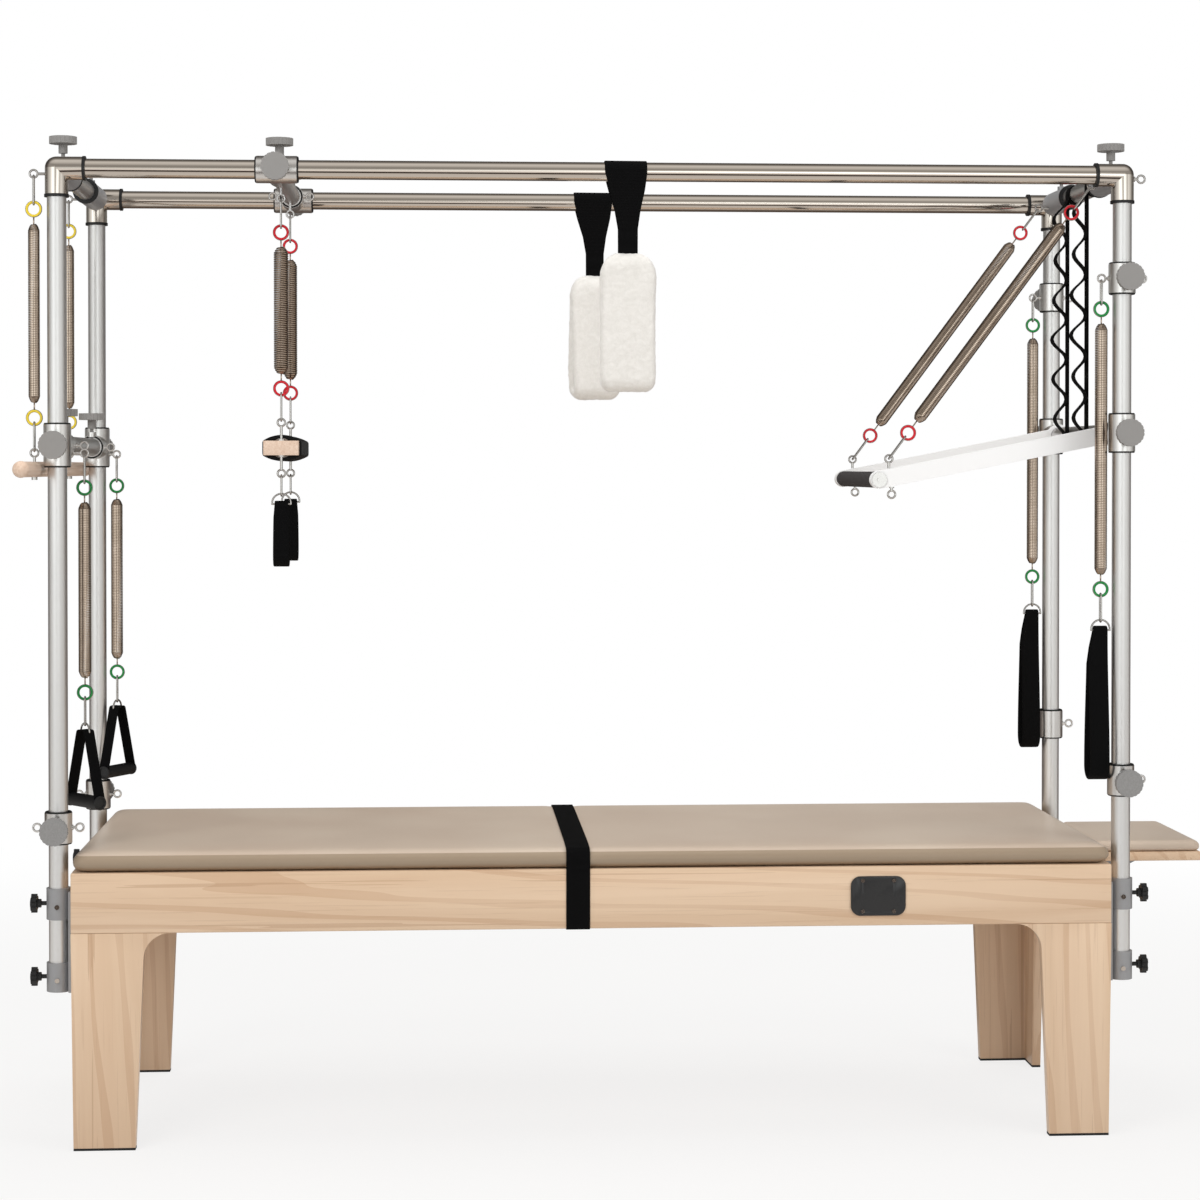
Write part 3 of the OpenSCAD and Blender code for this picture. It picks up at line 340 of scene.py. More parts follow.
def plaqueFinish():
    m = Recipe("plaqueBlack")
    grain = m.noise(m.place(), 700.0, 3.0)
    return m.set(colour=m.ramp(grain, [(0.3, (0.006, 0.006, 0.007)), (0.8, (0.016, 0.016, 0.017))]),
                 rough=0.32 + grain * 0.1, coat=0.2, normal=m.bump(grain, 0.1, 0.0003))


stainlessX = metalFinish("stainlessAlong", (0.64, 0.575, 0.51), 0.055, "x", 0.02)
stainless = metalFinish("stainlessPolished", (0.64, 0.58, 0.52), 0.08, None, 0.02)
clampSteel = metalFinish("clampSteel", (0.72, 0.70, 0.68), 0.26, None, 0.04)
aluminiumZ = metalFinish("aluminiumPosts", (0.80, 0.79, 0.78), 0.36, "z", 0.03)
aluminiumY = metalFinish("aluminiumCross", (0.76, 0.75, 0.745), 0.36, "y", 0.03)
hardware = metalFinish("eyeSteel", (0.50, 0.48, 0.46), 0.18, None, 0.06)
greyPaint = paintFinish("greyCasting", linear(158, 158, 160), 0.38, 0.35)
knobGrey = plasticFinish("knobGrey", linear(142, 140, 138), 0.5)
blackPlastic = plasticFinish("blackPlastic", (0.005, 0.005, 0.0055), 0.42)
rubberBlack = plasticFinish("rubberBlack", (0.007, 0.007, 0.007), 0.7)
whitePaint = paintFinish("whitePowder", linear(250, 250, 250), 0.35, 0.0, 0.08)
mapleX = mapleFinish("mapleRails", "x")
mapleY = mapleFinish("mapleEnds", "y", 3.1)
mapleZ = mapleFinish("mapleLegs", "z", 7.7)
deckWood = paleWoodFinish("deckPly", "x")
paleWood = paleWoodFinish("beechBar", "y")
vinyl = vinylFinish()
webbing = weaveFinish("webbingBlack", (0.0026, 0.0026, 0.0028), 2100.0)
softBlack = weaveFinish("neopreneBlack", (0.0022, 0.0022, 0.0024), 3200.0, 0.6, 0.75)
fleece = fleeceFinish()
foam = foamFinish()
springWire = springFinish()
lowClamp = lowClampFinish()
plaqueBlack = plaqueFinish()

insertColours = {"red": linear(206, 28, 44), "green": linear(22, 132, 62), "yellow": linear(232, 205, 60)}
ringDrop, coilDrop = 0.0093, 0.0317  # from a link to its ring's middle, and from there to the coil


def ringCentres(node, radius):
    low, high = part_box(node)
    x, off = (low.x + high.x) / 2, 0.0177  # a ring's middle is this far past the spring's end
    return [(x, y, z) for y in (low.y + radius, high.y - radius) for z in (high.z + off, low.z - off)]


finishes = (
    (mapleX, "side_rails"), (mapleY, "end_rails extension_board"), (mapleZ, "legs"),
    (deckWood, "deck_board deck_bearers"), (plaqueBlack, "plaque"), (rubberBlack, "rubber_feet"),
    (greyPaint, "extension_brackets sockets end_sleeves"), (aluminiumZ, "uprights"),
    (blackPlastic, "star_knobs elbow_bushes"), (stainlessX, "top_rails"), (stainless, "screws elbows"),
    (aluminiumY, "end_tubes carriage_tube slider_tube crossbar_tube"), (paleWood, "trapeze_bar roll_dowel"),
    (knobGrey, "frame_knobs slider_knobs crossbar_knobs"), (hardware, "frame_eyes push_fittings"),
    (clampSteel, "carriage_clamps slider_clamps crossbar_clamps"), (whitePaint, "push_arms"),
    (lowClamp, "clamp_low_front_left clamp_low_rear_left clamp_low_front_right clamp_low_rear_right"),
)
carried = {node: material for material, names in finishes for node in names.split()}
for group, colour, radius in (("trapeze", "red", 0.0135), ("pull", "green", 0.0135),
                              ("roll", "yellow", 0.011), ("loop", "green", 0.0135)):
    carried[group + "_fittings"] = ringFinish(group + "Fittings", ringCentres(group + "_springs", radius),
                                              insertColours[colour])
barSpring = {"top": (midX + 1.0698478, 2.0171142), "side": 0.25, "lean": 36.7145, "coil": 0.52757,
             "link": 0.060, "radius": 0.0143}
lean = math.radians(barSpring["lean"])


def alongBar(distance, y):
    x, z = barSpring["top"]
    return Vector((x - distance * math.sin(lean), y, z - distance * math.cos(lean)))


barRings = [barSpring["link"] + ringDrop, barSpring["link"] + ringDrop + 2 * coilDrop + barSpring["coil"]]
for node, distance in zip(("bar_spring_tops", "bar_spring_ends"), barRings):
    centres = [tuple(alongBar(distance, midY + s * barSpring["side"])) for s in (-1, 1)]
    carried[node] = ringFinish(node.replace("_", ""), centres, insertColours["red"])


def dress(item, material):
    item.data.materials.clear()
    item.data.materials.append(material)


for node, material in carried.items():
    dress(nodes[node], material)
print("stage: materials on", len(carried), "carried nodes")

# common steps of modelling


def deselect():
    if bpy.context.object and bpy.context.object.mode != "OBJECT":
        bpy.ops.object.mode_set(mode="OBJECT")
    bpy.ops.object.select_all(action="DESELECT")


def pick(*items):
    deselect()
    for item in items:
        item.select_set(True)
    bpy.context.view_layer.objects.active = items[0]


def applyAll(item):
    pick(item)
    for modifier in list(item.modifiers):
        bpy.ops.object.modifier_apply(modifier=modifier.name)


def settle(item):
    pick(item)
    bpy.ops.object.transform_apply(location=True, rotation=True, scale=True)


def joined(*items):
    pick(*items)
    bpy.ops.object.join()
    return bpy.context.object


def roundEdges(item, offset, segments):
    pick(item)
    bpy.ops.object.mode_set(mode="EDIT")
    bpy.ops.mesh.select_all(action="SELECT")
    bpy.ops.mesh.bevel(offset=offset, segments=segments, affect="EDGES")
    bpy.ops.object.mode_set(mode="OBJECT")


def softened(item, voxel, rounds):
    remesh = item.modifiers.new("voxels", "REMESH")
    remesh.mode = "VOXEL"
    remesh.voxel_size = voxel
    smooth = item.modifiers.new("soften", "SMOOTH")
    smooth.factor = 0.5
    smooth.iterations = rounds
    applyAll(item)


def finishPiece(item, name, body, material, smooth=50, replaced=()):
    settle(item)
    bpy.ops.object.shade_smooth_by_angle(angle=math.radians(smooth))
    item.name = name
    dress(item, material)
    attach(item, body)
    if replaced:
        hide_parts(*replaced)


def closeAndTurnOut(item):
    pick(item)
    bpy.ops.object.mode_set(mode="EDIT")
    bpy.ops.mesh.select_all(action="SELECT")
    bpy.ops.mesh.remove_doubles(threshold=0.00002)
    bpy.ops.mesh.select_all(action="SELECT")
    bpy.ops.mesh.fill_holes(sides=0)
    bpy.ops.mesh.select_all(action="SELECT")
    bpy.ops.mesh.normals_make_consistent(inside=False)
    bpy.ops.object.mode_set(mode="OBJECT")


def ribbon(name, points, width, thick, plane, closed=False, edge=3):
    # a strap whose path lies in the XZ or YZ plane, its width across that plane
    curve = bpy.data.curves.new(name, "CURVE")
    curve.dimensions = "2D"
    curve.fill_mode = "NONE"
    spline = curve.splines.new("POLY")
    spline.points.add(len(points) - 1)
    for spot, point in zip(spline.points, points):
        spot.co = (point[0], point[1], 0, 1)
    spline.use_cyclic_u = closed
    curve.extrude = max(0.0, width / 2 - thick / 2)
    curve.bevel_depth = thick / 2
    curve.bevel_resolution = edge
    item = bpy.data.objects.new(name, curve)
    bpy.context.scene.collection.objects.link(item)
    item.matrix_world = Matrix.Rotation(math.pi / 2, 4, "X") if plane == "XZ" else (
        Matrix.Rotation(math.pi / 2, 4, "Z") @ Matrix.Rotation(math.pi / 2, 4, "X"))
    pick(item)
    bpy.ops.object.convert(target="MESH")
    item = bpy.context.object
    closeAndTurnOut(item)
    return item


def rounded(points, radius=0.012, steps=4):
    # the same closed outline with its corners turned on a short radius
    out = []
    n = len(points)
    for i in range(n):
        a, b, c = (Vector(points[(i + k) % n]) for k in (-1, 0, 1))
        ra = min(radius, (a - b).length / 2.2)
        rc = min(radius, (c - b).length / 2.2)
        start, end = b + (a - b).normalized() * ra, b + (c - b).normalized() * rc
        for k in range(steps + 1):
            t = k / steps
            out.append(tuple((1 - t) ** 2 * start + 2 * t * (1 - t) * b + t * t * end))
    return out


def easedCopy(node, width, name, body, segments=2):
    # the CAD solid again with its sharp edges eased, as a sanded board or a casting has
    item = nodes[node].copy()
    item.data = nodes[node].data.copy()
    item.parent = None
    for key in list(item.keys()):
        del item[key]
    bpy.context.scene.collection.objects.link(item)
    item.matrix_world = Matrix.Identity(4)
    pick(item)
    bpy.ops.object.mode_set(mode="EDIT")
    bpy.ops.mesh.select_all(action="SELECT")
    bpy.ops.mesh.remove_doubles(threshold=0.00001)
    bpy.ops.mesh.dissolve_limited(angle_limit=math.radians(1.0))
    bpy.ops.object.mode_set(mode="OBJECT")
    bevel = item.modifiers.new("ease", "BEVEL")
    bevel.width = width
    bevel.segments = segments
    bevel.limit_method = "ANGLE"
    bevel.angle_limit = math.radians(35)
    applyAll(item)
    finishPiece(item, name, body, nodes[node].data.materials[0], 40, (node,))
    return item


for node, width, name, slot, body in (
        ("side_rails", 0.0025, "sideRails", "maple", "frame"),
        ("end_rails", 0.0015, "endRails", "maple", "frame"),
        ("legs", 0.0022, "legBoards", "maple", "frame"),
        ("extension_board", 0.003, "extensionBoard", "maple", "frame"),
        ("trapeze_bar", 0.004, "trapezeBar", "pale_wood", "trapeze"),
        ("push_arms", 0.0016, "pushArms", "white_paint", "push_bar"),
        ("plaque", 0.0008, "plaqueBlank", "black_plastic", "frame")):
    easedCopy(node, width, name, body)

# the arms' holes keep clear of the carriage tube as they turn
low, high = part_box("carriage_tube")
turnX, turnZ, clear = (low.x + high.x) / 2, (low.z + high.z) / 2, (high.z - low.z) / 2 + 0.0007
for vertex in bpy.data.objects["pushArms"].data.vertices:
    co = vertex.co
    far = math.hypot(co.x - turnX, co.z - turnZ)
    if 0.001 < far < clear:
        co.x, co.z = turnX + (co.x - turnX) * clear / far, turnZ + (co.z - turnZ) * clear / far
pick(bpy.data.objects["pushArms"])
bpy.ops.object.shade_smooth_by_angle(angle=math.radians(18))
print("stage: boards, bar and arms eased")

# springs: close-wound wire that narrows to its end loops

springShape = {"wire": 0.0034, "pitch": 0.0036, "steps": 14, "sides": 7, "relief": 0.07,
               "narrow": 0.013, "neck": 0.40, "tail": 0.014, "overlap": 0.008}


def woundSpring(x, y, top, length, radius, tilt=0.0, heavy=1.0):
    shape = springShape
    wire = shape["wire"] * heavy
    turns = int(length / shape["pitch"] / heavy)
    bpy.ops.mesh.primitive_circle_add(vertices=shape["sides"], radius=wire / 2,
                                      location=(radius - wire / 2, 0, 0), rotation=(math.pi / 2, 0, 0))
    item = bpy.context.object
    settle(item)
    if heavy == 1.0:  # fine wire lies so close that the coil looks ground smooth
        for vertex in item.data.vertices:
            vertex.co.x = radius + (vertex.co.x - radius) * shape["relief"]
    screw = item.modifiers.new("wind", "SCREW")
    screw.axis = "Z"
    screw.angle = 2 * math.pi
    screw.iterations = turns
    screw.steps = screw.render_steps = shape["steps"]
    screw.screw_offset = length / turns * -1
    applyAll(item)
    for vertex in item.data.vertices:
        fromEnd = min(-vertex.co.z, length + vertex.co.z)
        t = max(0.0, min(1.0, fromEnd / shape["narrow"]))
        share = shape["neck"] + (1 - shape["neck"]) * t ** 0.55
        vertex.co.x *= share
        vertex.co.y *= share
    parts = [item]
    for start in (shape["tail"], -length - shape["tail"]):  # the wire's end loop, seen edge on
        inward = -1 if start > 0 else 1
        bpy.ops.mesh.primitive_cylinder_add(vertices=10, radius=shape["wire"] / 2 * 0.95,
                                            depth=shape["tail"] + shape["overlap"],
                                            location=(0, 0, start + inward * 0.003))
        end = bpy.context.object
        bevel = end.modifiers.new("round", "BEVEL")
        bevel.width = 0.0006
        applyAll(end)
        settle(end)
        for vertex in end.data.vertices:
            vertex.co.z += inward * shape["overlap"] / 2
        parts.append(end)
    item = joined(*parts)
    closeAndTurnOut(item)
    item.matrix_world = Matrix.Translation((x, y, top)) @ Matrix.Rotation(tilt, 4, "Y")
    return item


for group, body, radius, edge, heavy in (("trapeze", "trapeze", 0.0160, 0.0135, 1.3),
                                         ("pull", "pull_pair", 0.0135, 0.0135, 1.0),
                                         ("roll", "roll_down", 0.0120, 0.011, 1.0),
                                         ("loop", "loop_pair", 0.0135, 0.0135, 1.0)):
    low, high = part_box(group + "_springs")
    top, bottom = high.z - springShape["tail"], low.z + springShape["tail"]
    for side, y in (("Front", low.y + edge), ("Rear", high.y - edge)):
        item = woundSpring((low.x + high.x) / 2, y, top, top - bottom, radius, heavy=heavy)
        finishPiece(item, group + "Spring" + side, body, springWire, 60,
                    (group + "_springs",))

coilStart = barSpring["link"] + ringDrop + coilDrop
for side, s in (("Front", -1), ("Rear", 1)):
    y = midY + s * barSpring["side"]
    start = alongBar(coilStart, y)
    item = woundSpring(start.x, y, start.z, barSpring["coil"], barSpring["radius"], lean)
    settle(item)
    bpy.ops.object.shade_smooth_by_angle(angle=math.radians(60))
    item.name = "barSpring" + side
    dress(item, springWire)
    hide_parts("bar_springs")
    tuple(alongBar(coilStart, y))
    tuple(alongBar(coilStart + barSpring["coil"], y))
    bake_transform(item)
print("stage: springs wound")

# mattress and pad: vinyl over foam, crowned, rolled at the upper edge

tableStrap = {"x": midX - 0.040, "width": 0.050, "thick": 0.0018}
mattressShape = {"corner": 0.022, "roll": 0.014, "crown": 0.0045, "voxel": 0.008}
padShape = {"corner": 0.014, "roll": 0.010, "crown": 0.003, "voxel": 0.006}
slopeIn = 0.13  # the crown is full this far in from the edge
pressed = {"deep": 0.0022, "half": 0.032}  # the webbing's dent in the mattress


def upholstered(node, name, shape, seed):
    low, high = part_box(node)
    size = high - low
    thick = size.z - shape["crown"]
    bpy.ops.mesh.primitive_cube_add(size=1, scale=(size.x, size.y, thick), location=(
        low.x + size.x / 2, low.y + size.y / 2, low.z + thick / 2))
    item = bpy.context.object
    settle(item)
    for kind, width, steps in (("upright", shape["corner"], 5), ("upper", shape["roll"], 6),
                               ("lower", 0.006, 3)):
        bpy.ops.object.mode_set(mode="OBJECT")
        top, bottom = high.z - shape["crown"], low.z
        for edge in item.data.edges:
            a, b = (item.data.vertices[i].co for i in edge.vertices)
            upright = abs(a.z - b.z) > thick * 0.5
            edge.select = upright if kind == "upright" else not upright and (
                min(a.z, b.z) > top - 0.0001 if kind == "upper" else max(a.z, b.z) < bottom + 0.0001)
        for face in item.data.polygons:
            face.select = False
        for vertex in item.data.vertices:
            vertex.select = False
        bpy.ops.object.mode_set(mode="EDIT")
        bpy.ops.mesh.select_mode(type="EDGE")
        bpy.ops.mesh.bevel(offset=width, segments=steps, affect="EDGES")
    bpy.ops.object.mode_set(mode="OBJECT")
    softened(item, shape["voxel"], 4)
    halfX, halfY = size.x / 2, size.y / 2
    for vertex in item.data.vertices:
        co = vertex.co
        u, v = (co.x - low.x - halfX) / halfX, (co.y - low.y - halfY) / halfY
        inX = min(1.0, (1 - abs(u)) * halfX / slopeIn)
        inY = min(1.0, (1 - abs(v)) * halfY / slopeIn)
        rise = max(0.0, min(inX, inY))
        up = max(0.0, (co.z - low.z) / thick)
        dents = noise.noise(Vector((co.x * 5 + seed, co.y * 5, seed))) * 0.0007
        co.z += up * (shape["crown"] * (1 - (1 - rise) ** 2) + dents * rise)
        if node == "mattress":
            co.z -= up * pressed["deep"] * math.exp(-((co.x - tableStrap["x"]) / pressed["half"]) ** 4)
        # the sides swell a little at mid height and draw in to the board
        swell = 0.0016 * math.sin(math.pi * min(1.0, up)) - 0.0014
        co.x += swell * (1 if u > 0 else -1) * (abs(u) > 0.98)
        co.y += swell * (1 if v > 0 else -1) * (abs(v) > 0.96)
    finishPiece(item, name, "frame", vinyl, 60, (node,))


upholstered("mattress", "mattressPad", mattressShape, 2.0)
upholstered("extension_pad", "extensionPad", padShape, 5.0)
print("stage: upholstery made")

# straps of woven webbing

low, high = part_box("mattress")
boards = (railHigh.y - railLow.y) / 2
pad = (high.y - low.y) / 2
under = railLow.z - 0.0015
outline = [(-boards - 0.0015, under), (boards + 0.0015, under), (boards + 0.0015, railHigh.z - 0.004),
           (pad + 0.0006, low.z + 0.008), (pad + 0.0006, low.z + 0.026), (pad - 0.004, low.z + 0.0356),
           (pad - 0.014, low.z + 0.0422), (pad - 0.070, high.z - 0.0009), (pad - 0.150, high.z + 0.0003)]
outline = outline + [(-y, z) for y, z in reversed(outline[1:])][:-1]
outline = [(y + midY, z) for y, z in outline]
item = ribbon("tableStrap", rounded(outline, 0.006, 3), tableStrap["width"], tableStrap["thick"], "YZ",
              closed=True)
item.location.x = tableStrap["x"]
finishPiece(item, "tableStrap", "frame", webbing, 40, ("table_strap",))

ladder = {"turns": 6, "length": 0.545, "wave": 0.030, "width": 0.036, "thick": 0.0013,
          "y": (-0.100, 0.080), "round": 0.0213}
tubeX, tubeZ = midX + postX, railZ
for label, y in zip(("Front", "Rear"), ladder["y"]):
    backX = tubeX - 0.0205
    hang = [(backX, tubeZ - 0.012 - ladder["length"] + 0.001), (backX, tubeZ - 0.30),
            (backX - 0.0004, tubeZ - 0.05)]
    over = [(tubeX - ladder["round"] * math.cos(math.radians(a)),
             tubeZ + ladder["round"] * math.sin(math.radians(a))) for a in range(0, 331, 15)]
    wave = []
    for k in range(ladder["turns"] * 12 + 1):
        t = k / (ladder["turns"] * 12)
        swing = ladder["wave"] * (1 - math.cos(2 * math.pi * ladder["turns"] * t)) / 2
        swing *= 1 + 0.12 * math.sin(9.0 * t + y * 30)
        wave.append((backX - 0.0021 - swing, tubeZ - 0.013 - ladder["length"] * 0.995 * t))
    item = joined(ribbon("back", hang + over, ladder["width"], ladder["thick"], "XZ"),
                  ribbon("wave", wave, ladder["width"] * 0.94, ladder["thick"], "XZ"))
    item.matrix_world = Matrix.Translation((0, midY + y, 0)) @ item.matrix_world
    finishPiece(item, "ladderStrap" + label, "frame", webbing, 40, ("ladder_straps",))
print("stage: table strap and ladder straps made")

# thin black bushes where a tube passes through a clamp or a cross sleeve

bushShape = {"major": 0.0256, "minor": 0.0021, "beyond": 0.0012, "crossTrim": 0.0014}
carriageZ, upperZ, crossbarZ = 1.487, 1.815, 1.460  # the clamps' middles
bushes = {"Frame": {"body": "frame", "places": []}, "Carrier": {"body": "trapeze_carrier", "places": []},
          "Crossbar": {"body": "crossbar", "places": []}}
for s in (-1, 1):
    y, inner = midY + s * postY, midY + s * (postY - 0.100)
    for group, spot, half, axis in (("Frame", (midX + postX, y, carriageZ), 0.039, "Z"),
                                    ("Frame", (midX + postX, y, upperZ), 0.031, "Z"),
                                    ("Carrier", (trapezeX, y, railZ), 0.042, "X"),
                                    ("Crossbar", (midX - postX, y, crossbarZ), 0.043, "Z")):
        step = (half + bushShape["beyond"]) * Vector((axis == "X", 0, axis == "Z"))
        bushes[group]["places"] += [(Vector(spot) + k * step, axis) for k in (-1, 1)]
    bushes["Frame"]["places"].append(((midX + postX, y - s * 0.062, carriageZ), "Y"))
    bushes["Carrier"]["places"].append(((trapezeX, inner, railZ), "Y"))
    bushes["Crossbar"]["places"].append(((midX - postX, inner, crossbarZ), "Y"))
for end, sx in (("left", -1), ("right", 1)):
    for side, s in (("front", -1), ("rear", 1)):
        low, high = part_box("clamp_low_" + side + "_" + end)
        spot = Vector((midX + sx * postX, midY + s * postY, 0))
        ends = (low.z - bushShape["beyond"], high.z + bushShape["beyond"])
        bushes["Low" + side.title() + end.title()] = {
            "body": "low_clamp_" + side + "_" + end,
            "places": [(spot + Vector((0, 0, z)), "Z") for z in ends]}
turnTo = {"X": (0, math.pi / 2, 0), "Y": (math.pi / 2, 0, 0), "Z": (0, 0, 0)}
for label, group in bushes.items():
    rings = []
    for place, axis in group["places"]:
        trim = bushShape["crossTrim"] if axis == "Y" else 0
        bpy.ops.mesh.primitive_torus_add(major_segments=40, minor_segments=8, location=place,
                                         rotation=turnTo[axis], minor_radius=bushShape["minor"],
                                         major_radius=bushShape["major"] - trim)
        rings.append(bpy.context.object)
    finishPiece(joined(*rings), "clampBushes" + label, group["body"], blackPlastic, 60)
print("stage: clamp bushes added")

# trapeze: padded sleeve on the wooden bar, and two cuffs

item = easedCopy("trapeze_pad", 0.004, "trapezeSleeve", "trapeze", 3)
softened(item, 0.0028, 5)
for vertex in item.data.vertices:
    co = vertex.co
    co.z += 0.0009 * noise.noise(Vector((co.x * 30, co.y * 14, co.z * 30)))
for face in item.data.polygons:
    face.use_smooth = True
dress(item, sleeveFinish())


def teardrop(length, bulge, thick, top=0.0045):
    # a strap's middle line: round its ring's bar, down both sides, round at the bottom
    r = bulge / 2 - thick / 2
    points = []
    for k in range(9):
        a = math.pi * k / 8
        points.append((top * math.cos(a), top * math.sin(a)))
    sides = []
    for k in range(1, 8):
        t = k / 8
        sides.append((top + (r - top) * (t * t * (3 - 2 * t)), -(length - bulge / 2) * t))
    points += [(-x, z) for x, z in sides]
    for k in range(13):
        a = math.pi + math.pi * k / 12
        points.append((r * math.cos(a), -length + bulge / 2 + r * math.sin(a)))
    return points + sides[::-1]


cuffs = {"length": 0.134, "bulge": 0.050, "width": 0.034, "thick": 0.0046, "side": 0.180,
         "band": 0.0022, "gather": 0.030}
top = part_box("trapeze_cuffs")[0].z + cuffs["length"]
for label, s in (("Front", -1), ("Rear", 1)):
    y = midY + s * cuffs["side"]
    line = teardrop(cuffs["length"], cuffs["bulge"], cuffs["thick"], 0.0048)
    item = ribbon("cuff", [(a + y, b + top) for a, b in line], cuffs["width"], cuffs["thick"], "YZ",
                  closed=True)
    item.location.x = trapezeX
    line = teardrop(0.030, 0.020, cuffs["band"], 0.0085)
    band = ribbon("band", [(a * 1.12 + y, b + top) for a, b in line], cuffs["width"] * 0.8, cuffs["band"],
                  "YZ", closed=True)
    band.location = (trapezeX, 0, -cuffs["gather"])
    item = joined(item, band)
    settle(item)
    for vertex in item.data.vertices:  # gathered at its ring
        t = max(0.0, min(1.0, (top - vertex.co.z) / cuffs["gather"]))
        vertex.co.x = trapezeX + (vertex.co.x - trapezeX) * (0.85 + 0.15 * t)
    finishPiece(item, "trapezeCuff" + label, "trapeze", webbing, 40, ("trapeze_cuffs",))
print("stage: trapeze sleeve and cuffs made")

# foot loops: long padded straps

loops = {"length": 0.318, "bulge": 0.060, "thick": 0.0066}
loopLow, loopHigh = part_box("foot_loops")
for label, y in (("Front", midY - postY), ("Rear", midY + postY)):
    top = loopLow.z + loops["length"]
    width = loopHigh.x - loopLow.x
    line = teardrop(loops["length"], loops["bulge"], loops["thick"], 0.0062)
    item = ribbon("loop", [(a + y, b + top) for a, b in line], width, loops["thick"], "YZ", closed=True,
                  edge=4)
    item.location.x = (loopLow.x + loopHigh.x) / 2
    settle(item)
    for vertex in item.data.vertices:  # narrowed at its inner edge where it passes through its ring
        t = max(0.0, min(1.0, (top - 0.016 - vertex.co.z) / 0.034))
        depth = loopHigh.x - vertex.co.x
        vertex.co.x = loopHigh.x - depth * (0.714 + 0.286 * t * t * (3 - 2 * t))
    finishPiece(item, "footLoop" + label, "loop_pair", softBlack, 40, ("foot_loops",))

# pull handles: a webbing triangle through a grip tube

handles = {"turns": (-50, 63), "x": midX - 1.0755, "y": (midY - 0.2405, midY + postY), "height": 0.146,
           "half": 0.053, "gripRadius": 0.014, "gripLength": 0.112, "capRadius": 0.0024,
           "width": 0.026, "thick": 0.0026}
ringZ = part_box("pull_handles")[0].z + handles["gripRadius"] + handles["height"]
for label, y, turn in zip(("Front", "Rear"), handles["y"], handles["turns"]):
    h, w, g = handles["height"], handles["half"], handles["gripRadius"]
    loop = [(-0.013, 0.0040), (0.013, 0.0040), (0.016, -0.006), (w, -h + 0.012), (w + 0.002, -h + 0.002),
            (w - 0.006, -h - 0.001), (-w + 0.006, -h - 0.001), (-w - 0.002, -h + 0.002), (-w, -h + 0.012),
            (-0.016, -0.006)]
    strap = ribbon("strap", rounded(loop, 0.008, 3), handles["width"], handles["thick"], "XZ", closed=True)
    along = (0, math.pi / 2, 0)
    bpy.ops.mesh.primitive_cylinder_add(vertices=40, radius=g, depth=handles["gripLength"],
                                        location=(0, 0, -h), rotation=along)
    grip = bpy.context.object
    roundEdges(grip, 0.003, 3)
    settle(grip)
    for s in (-1, 1):  # the grip's end caps
        bpy.ops.mesh.primitive_torus_add(location=(s * handles["gripLength"] / 2, 0, -h), rotation=along,
                                         major_radius=g - 0.0012, minor_radius=handles["capRadius"],
                                         major_segments=32, minor_segments=10)
        grip = joined(grip, bpy.context.object)
    stand = Matrix.Translation((handles["x"], y, ringZ)) @ Matrix.Rotation(math.radians(turn), 4, "Z")
    for part, name, material in ((strap, "pullStrap", webbing), (grip, "pullGrip", blackPlastic)):
        settle(part)
        part.matrix_world = stand
        finishPiece(part, name + label, "pull_pair", material, 40, ("pull_handles",))
print("stage: loops and handles made")

# foam grip of the push-through bar

low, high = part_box("push_grip")
foamRadius = 0.0172
bpy.ops.mesh.primitive_cylinder_add(vertices=48, radius=foamRadius, depth=high.y - low.y - 0.001,
                                    location=(low + high) / 2, rotation=(math.pi / 2, 0, 0))
item = bpy.context.object
roundEdges(item, 0.004, 4)
finishPiece(item, "foamGrip", "push_bar", foam, 40, ("push_grip",))

# fleece slings: a fleece loop on a strap round the rail

slings = {"front": {"x": midX + 0.067, "y": midY - postY, "turn": 0.0, "seed": 1.0},
          "rear": {"x": midX + 0.036, "y": midY + postY, "turn": 0.32, "seed": 4.0},
          "thick": 0.024, "length": 0.291, "width": 0.116, "top": 1.863, "deep": 0.060,
          "strapRound": 0.0216, "strapWidth": 0.052, "strapThick": 0.0024}


def slingStrap(label, place):
    r = slings["strapRound"]
    path = [(r * math.cos(math.radians(a)), r * math.sin(math.radians(a))) for a in range(-20, 201, 12)]
    hang = [(0.016, -0.040), (0.009, -0.080), (0.0045, -0.120), (0.0030, -0.170), (0.0030, -0.192)]
    path += [(-x, z) for x, z in hang] + hang[::-1]
    item = ribbon("slingStrap", path, slings["strapWidth"], slings["strapThick"], "YZ", closed=True)
    settle(item)
    for vertex in item.data.vertices:  # wide over the rail, gathered down to the ring
        t = max(0.0, min(1.0, (vertex.co.z + 0.125) / 0.125))
        vertex.co.x *= 0.80 + 0.72 * t * t * (3 - 2 * t)
        vertex.co.x -= 0.010 * t * t if vertex.co.x < 0 else 0.0
        vertex.co.z += 0.0008 * math.sin(vertex.co.x * 240) * t
    item.location = (place["x"], place["y"], railZ)
    finishPiece(item, "slingStrap" + label, "sling_" + label.lower(), webbing, 40,
                ("sling_strap_" + label.lower(),))


